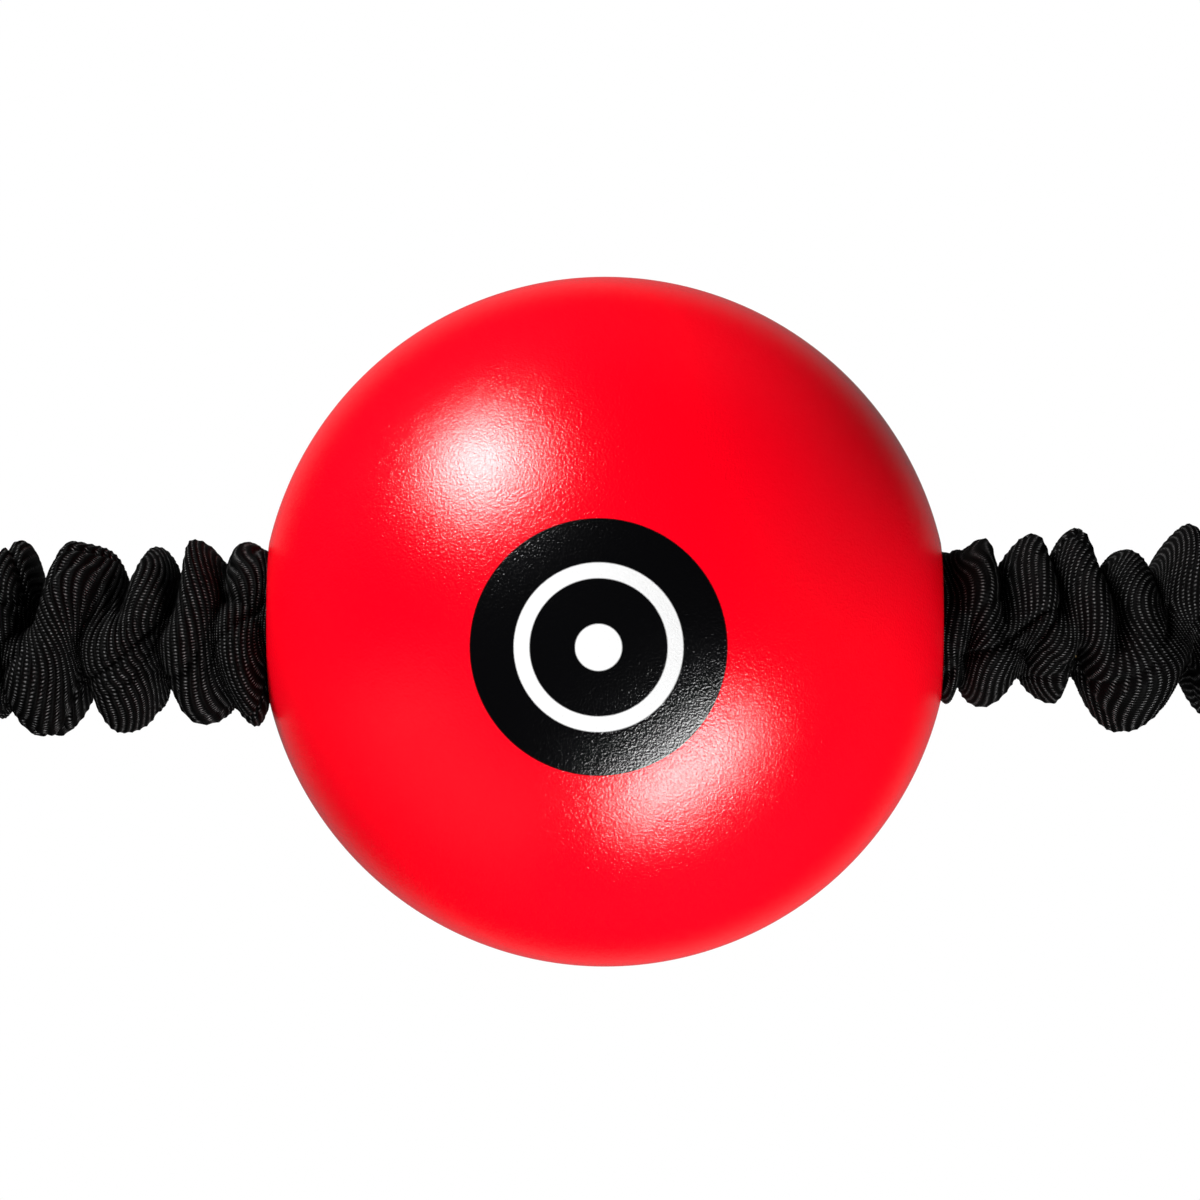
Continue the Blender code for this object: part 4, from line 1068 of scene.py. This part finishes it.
def round_band(start, end, step=1.0):
    """Places from start to end round the band, about step degrees apart."""
    count = math.ceil(abs(end - start) / step)
    return [start + (end - start) * i / count for i in range(count + 1)]


def flat_strip(inner, outer, low, high, radius=0.4, bulge=0.0):
    """A strip's section, with rounded edges, swelling outwards by bulge in the middle."""
    outline = rounded(inner, outer, low, high, radius, rows=16)
    middle, half = (low + high) / 2, (high - low) / 2
    swollen = []
    for offset, z in outline:
        share = 1 - min(1, abs(z - middle) / half) ** 4
        facing = 1 if offset > (inner + outer) / 2 else -1
        push = bulge * share if facing * bulge > 0 else 0
        swollen.append((offset + push, z))
    return lambda turn: swollen


# Open-cell foam: dark grey, its cut edge full of small holes.
open_foam, tree, shader = substance("open_cell_foam", "#3c3d40", 0.95, Specular_IOR_Level=0.2)
place = add(tree, "TexCoord")
HOLE_SIZE = 0.625
cells = add(tree, "TexVoronoi", {"Vector": place.outputs["Object"], "Scale": 1000 / HOLE_SIZE})
pitted = add(tree, "Bump", {"Height": cells.outputs["Distance"], "Strength": 0.8, "Distance": 0.25 * MM})
tree.links.new(pitted.outputs[0], shader.inputs["Normal"])
# Nylon jersey over the foam: matt black, in fine knitted wales, their tops lighter with a painted highlight.
jersey = woven("nylon_jersey", 0.7, 0.55, "#070708", "#303034", 0.75, 0.1)


def brushed(name, colour, size, depth, sheen):
    """Cloth with a raised nap, its tufts size millimetres apart."""
    made, tree, shader = substance(name, colour, 0.95, Specular_IOR_Level=0.15, Sheen_Weight=sheen)
    place = add(tree, "TexCoord")
    tufts = add(tree, "TexVoronoi", {"Vector": place.outputs["Object"], "Scale": 1000 / size})
    nap = add(tree, "TexNoise", {"Vector": place.outputs["Object"], "Scale": 4000 / size, "Detail": 4.0})
    height = add(tree, "Math", {0: tufts.outputs["Distance"], 1: nap.outputs["Fac"]}, operation="ADD")
    rise = add(tree, "Bump", {"Height": height.outputs[0], "Strength": 0.9, "Distance": depth * MM})
    tree.links.new(rise.outputs[0], shader.inputs["Normal"])
    return made


# Brushed tricot, which takes up sweat: soft black, with a short nap that pales at grazing angles.
brushed_tricot = brushed("brushed_tricot", "#141416", 0.8, 0.2, 0.35)
# Grosgrain tape: black, with close ribs across it, their tops lighter with a painted highlight.
grosgrain = woven("grosgrain_tape", 0.85, 0.5, "#09090a", "#3e3e42", 0.6, 0.14)
# Printed silicone: clear grey, smooth and rubbery, with a soft gloss.
silicone = grained("printed_silicone", "#6a6d70", 0.3, 2.0, 0.03, Transmission_Weight=0.35, IOR=1.41)

BAND_END = 142
around_band = round_band(-BAND_END, BAND_END)
COVER = (3, 47)  # the cover's two long edges, inside the bindings
pad = band_piece("foam_padding", "foam_pad", around_band, flat_strip(-2, 2, *COVER), open_foam, "grey_foam")
shell_section = flat_strip(2.3, 3.3, *COVER, bulge=0.25)
shell = band_piece(
    "knitted_shell", "outer_shell", around_band, shell_section, jersey, "black_cloth", wave=0.12
)
lining_section = flat_strip(-3.3, -2.3, *COVER, bulge=-0.25)
lining = band_piece(
    "brushed_lining", "sweat_liner", around_band, lining_section, brushed_tricot, "black_cloth", wave=0.12
)

BINDING_SIDE = [(-4.5, z) for z in (4.55, 4.0, 3.4, 2.8)]
QUARTER_TURN = np.linspace(0, math.pi / 2, 9)
BINDING_BEND = [(-4.5 + 2.4 * (1 - math.cos(a)), 2.4 * (1 - math.sin(a))) for a in QUARTER_TURN]
BINDING_HALF = BINDING_SIDE + BINDING_BEND + [(-1.4, 0.0), (-0.7, 0.0)]
BINDING_OUTER = BINDING_HALF + [(0.0, 0.0)] + [(-x, z) for x, z in reversed(BINDING_HALF)]
BINDING_INNER = [(4.3, 4.92), (3.95, 5.0), (3.68, 4.9), (3.62, 3.3), (3.3, 2.8), (-3.3, 2.8), (-3.62, 3.3)]
BINDING_OUTLINE = BINDING_OUTER + BINDING_INNER + [(-3.68, 4.9), (-3.95, 5.0), (-4.3, 4.92)]
for name, edge, way in (("bottom", 0, 1), ("top", 50, -1)):
    outline = [(x, edge + way * z) for x, z in BINDING_OUTLINE]
    finish = (grosgrain, "black_webbing")
    names = (name + "_bound_edge", name + "_binding")
    band_piece(*names, around_band, lambda turn, o=outline: o, *finish, wave=0.1)
    rows = []
    for offset in (4.5, -4.5):
        spots = round_band(-BAND_END + 1, BAND_END - 1, 0.5)
        facing = math.copysign(1, offset)
        line = [band_point(turn, offset, edge + way * 3.7) for turn in spots]
        rows.append((line, [band_outward(turn) * facing for turn in spots]))
    sewn = thread_rows(name + "_edge_stitches", rows, thread)
    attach(sewn, "headband")

for row, name in ((-1, "bottom"), (0, "middle"), (1, "top")):
    middle = 25 + 9 * row
    swell = np.linspace(0, math.pi, 15)
    bead = [(-3.3 - 1.05 * max(0, math.sin(a)) ** 0.8, middle + 1.5 * math.cos(a)) for a in swell]
    bead += [(-3.2, middle - 1.4), (-3.2, middle), (-3.2, middle + 1.4)]
    names = (name + "_grip_line", name + "_grip")
    band_piece(*names, round_band(-64, 64), lambda turn, b=bead: b, silicone, "silicone")


# The closure. A knitted elastic strap comes from the right end and carries a loop patch. The tab from
# the left end has a hook patch under it and a moulded grip over its end.

# Knitted elastic: black, in broad lengthwise ribs with fine cross rows, their tops lighter with a painted
# highlight.
elastic_knit = woven("knitted_elastic", 0.6, 2.4, "#08080a", "#38383c", 0.65, 0.22)
# Loop pile: a fuzzy black mat of broken loops.
loop_pile = brushed("loop_pile", "#101012", 0.6, 0.35, 0.5)


HOOK_PITCH = 0.8


def hooked_nylon():
    """Moulded hooks: black nylon with straight rows of small glossy points."""
    made, tree, shader = substance("moulded_hooks", "#17171a", 0.4)
    cloth = add(tree, "UVMap", uv_map="cloth")
    parts = add(tree, "SeparateXYZ", {0: cloth.outputs[0]})
    waves = []
    for socket in ("X", "Y"):
        turns = add(tree, "Math", {0: parts.outputs[socket], 1: math.pi / HOOK_PITCH}, operation="MULTIPLY")
        wave = add(tree, "Math", {0: turns.outputs[0]}, operation="SINE")
        waves.append(add(tree, "Math", {0: wave.outputs[0]}, operation="ABSOLUTE"))
    point = add(tree, "Math", {0: waves[0].outputs[0], 1: waves[1].outputs[0]}, operation="MULTIPLY")
    sharp = add(tree, "Math", {0: point.outputs[0], 1: 3.0}, operation="POWER")
    bump = add(tree, "Bump", {"Height": sharp.outputs[0], "Strength": 1.0, "Distance": 0.4 * MM})
    tree.links.new(bump.outputs[0], shader.inputs["Normal"])
    return made


# Places round the band, in degrees from the forehead.
TAB_START, TAB_END = 227, 162
TIP_START, TIP_END = 165.87, 156.58
TIP_RIDGES_FROM, TIP_RIDGES_TO, TIP_RIDGE_PITCH = 157.4, 165.4, 1.15


def ease_in(turn):
    """How far the strap has stepped inwards, from 0 at the band's end to 1 behind it."""
    share = min(1.0, max(0.0, (turn - BAND_END - 1) / 8.0))
    return share * share * (3 - 2 * share)


def strap_section(turn):
    inner = SHELL_OUTER + 0.3 - (SHELL_OUTER + 0.3 + 0.9) * ease_in(turn)
    return rounded(inner, inner + 1.8, 7, 43, 0.7, rows=16)


strap_turns = round_band(133, 210, 0.7)
band_piece(
    "elastic_strap", "rear_strap", strap_turns, strap_section, elastic_knit, "black_webbing", wave=0.1
)
loops = flat_strip(1.2, 2.2, 8.5, 41.5)
band_piece("loop_pile_patch", "loop_patch", round_band(158, 207), loops, loop_pile, "black_cloth", wave=0.1)
hooks = flat_strip(2.5, 3.5, 11.5, 38.5, 0.3)
hooked = hooked_nylon()
band_piece("moulded_hook_patch", "hook_patch", round_band(168, 205), hooks, hooked, "hook_nylon", "closure")
tab_section = flat_strip(3.8, 5.3, 10, 40, 0.6)
tab_turns = round_band(TAB_START, TAB_END, 0.5)
tab = band_piece("sewn_pull_tab", "tab_root", tab_turns, tab_section, webbing, "black_webbing", None)
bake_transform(tab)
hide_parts("closure_tab")


def tip_section(turn):
    """The grip's outline: it thins past the tab's end, is ridged across, and is rounded at both rims."""
    thin = 0.9 * max(0.0, min(1.0, (TAB_END - turn) / 5.42)) ** 2
    ridge = 0
    if TIP_RIDGES_FROM < turn < TIP_RIDGES_TO:
        ridge = 0.35 * (0.5 - 0.5 * math.cos((turn - TIP_RIDGES_FROM) / TIP_RIDGE_PITCH * math.tau))
    rim = 0.5 * max(0.0, (turn - 165.3) / 0.57) + 0.5 * max(0.0, (157.1 - turn) / 0.5)
    return rounded(2.5 + thin + rim, 6.6 - thin - ridge - rim, 8.7 + rim, 41.3 - rim, 1.0, rows=16)


tip_turns = round_band(TIP_START, TIP_END, 0.1)
band_piece("moulded_pull_tip", "pull_tip", tip_turns, tip_section, moulded_rubber, "black_rubber", "closure")


def cross_row(turn, offset, low, high, facing=1):
    """A row of stitches standing across the band."""
    line = [band_point(turn, offset, z) for z in np.linspace(low, high, 40)]
    return line, [band_outward(turn) * facing] * 40


def long_row(start, end, offset, z, facing=1):
    """A row of stitches running along the band."""
    spots = np.linspace(start, end, 60)
    return [band_point(turn, offset, z) for turn in spots], [band_outward(turn) * facing for turn in spots]


rows = [cross_row(turn, 5.4, 8.5, 41.5) for turn in (134.2, 140.6)]
rows += [long_row(134.2, 140.6, 5.4, z) for z in (8.6, 41.4)]
rows += [long_row(159, 167, 2.2, z) for z in (9.7, 40.3)]
rows += [cross_row(158.8, 2.2, 9.7, 40.3), cross_row(206.4, 2.2, 9.7, 40.3)]
rows += [cross_row(turn, 5.3, 11.5, 38.5) for turn in (219.2, 225.8)]
rows += [long_row(219.2, 225.8, 5.3, z) for z in (11.5, 38.5)]
sewn = thread_rows("closure_stitches", rows, thread)
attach(sewn, "headband")
rows = [long_row(168.8, 204.4, 5.3, z) for z in (12.7, 37.3)]
rows += [cross_row(turn, 5.3, 12.7, 37.3) for turn in (168.8, 204.4)]
sewn = thread_rows("hook_patch_stitches", rows, thread)
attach(sewn, "closure")


# Cards round the object for the plated metal to mirror. They light nothing else.

plated = bpy.data.collections.new("plated_metal")
for piece in list(bpy.data.objects):
    if any(place.material in (nickel_plate, crimped_steel) for place in piece.material_slots):
        plated.objects.link(piece)
for name, direction, size, radiance in (
    ("card_above", (0.2, 0.3, 1.0), (0.9, 0.6), 1.5),
    ("card_front_left", (-1.0, -0.8, 0.25), (0.9, 0.9), 1.1),
    ("card_front_right", (1.0, -0.6, 0.35), (0.8, 0.9), 1.1),
    ("card_behind", (0.2, 1.0, 0.3), (1.0, 0.8), 1.0),
    ("card_below", (0.0, 0.1, -1.0), (0.9, 0.9), 0.5),
):
    card = soft_box(name, direction, 0.9, size, radiance)
    card.light_linking.receiver_collection = plated
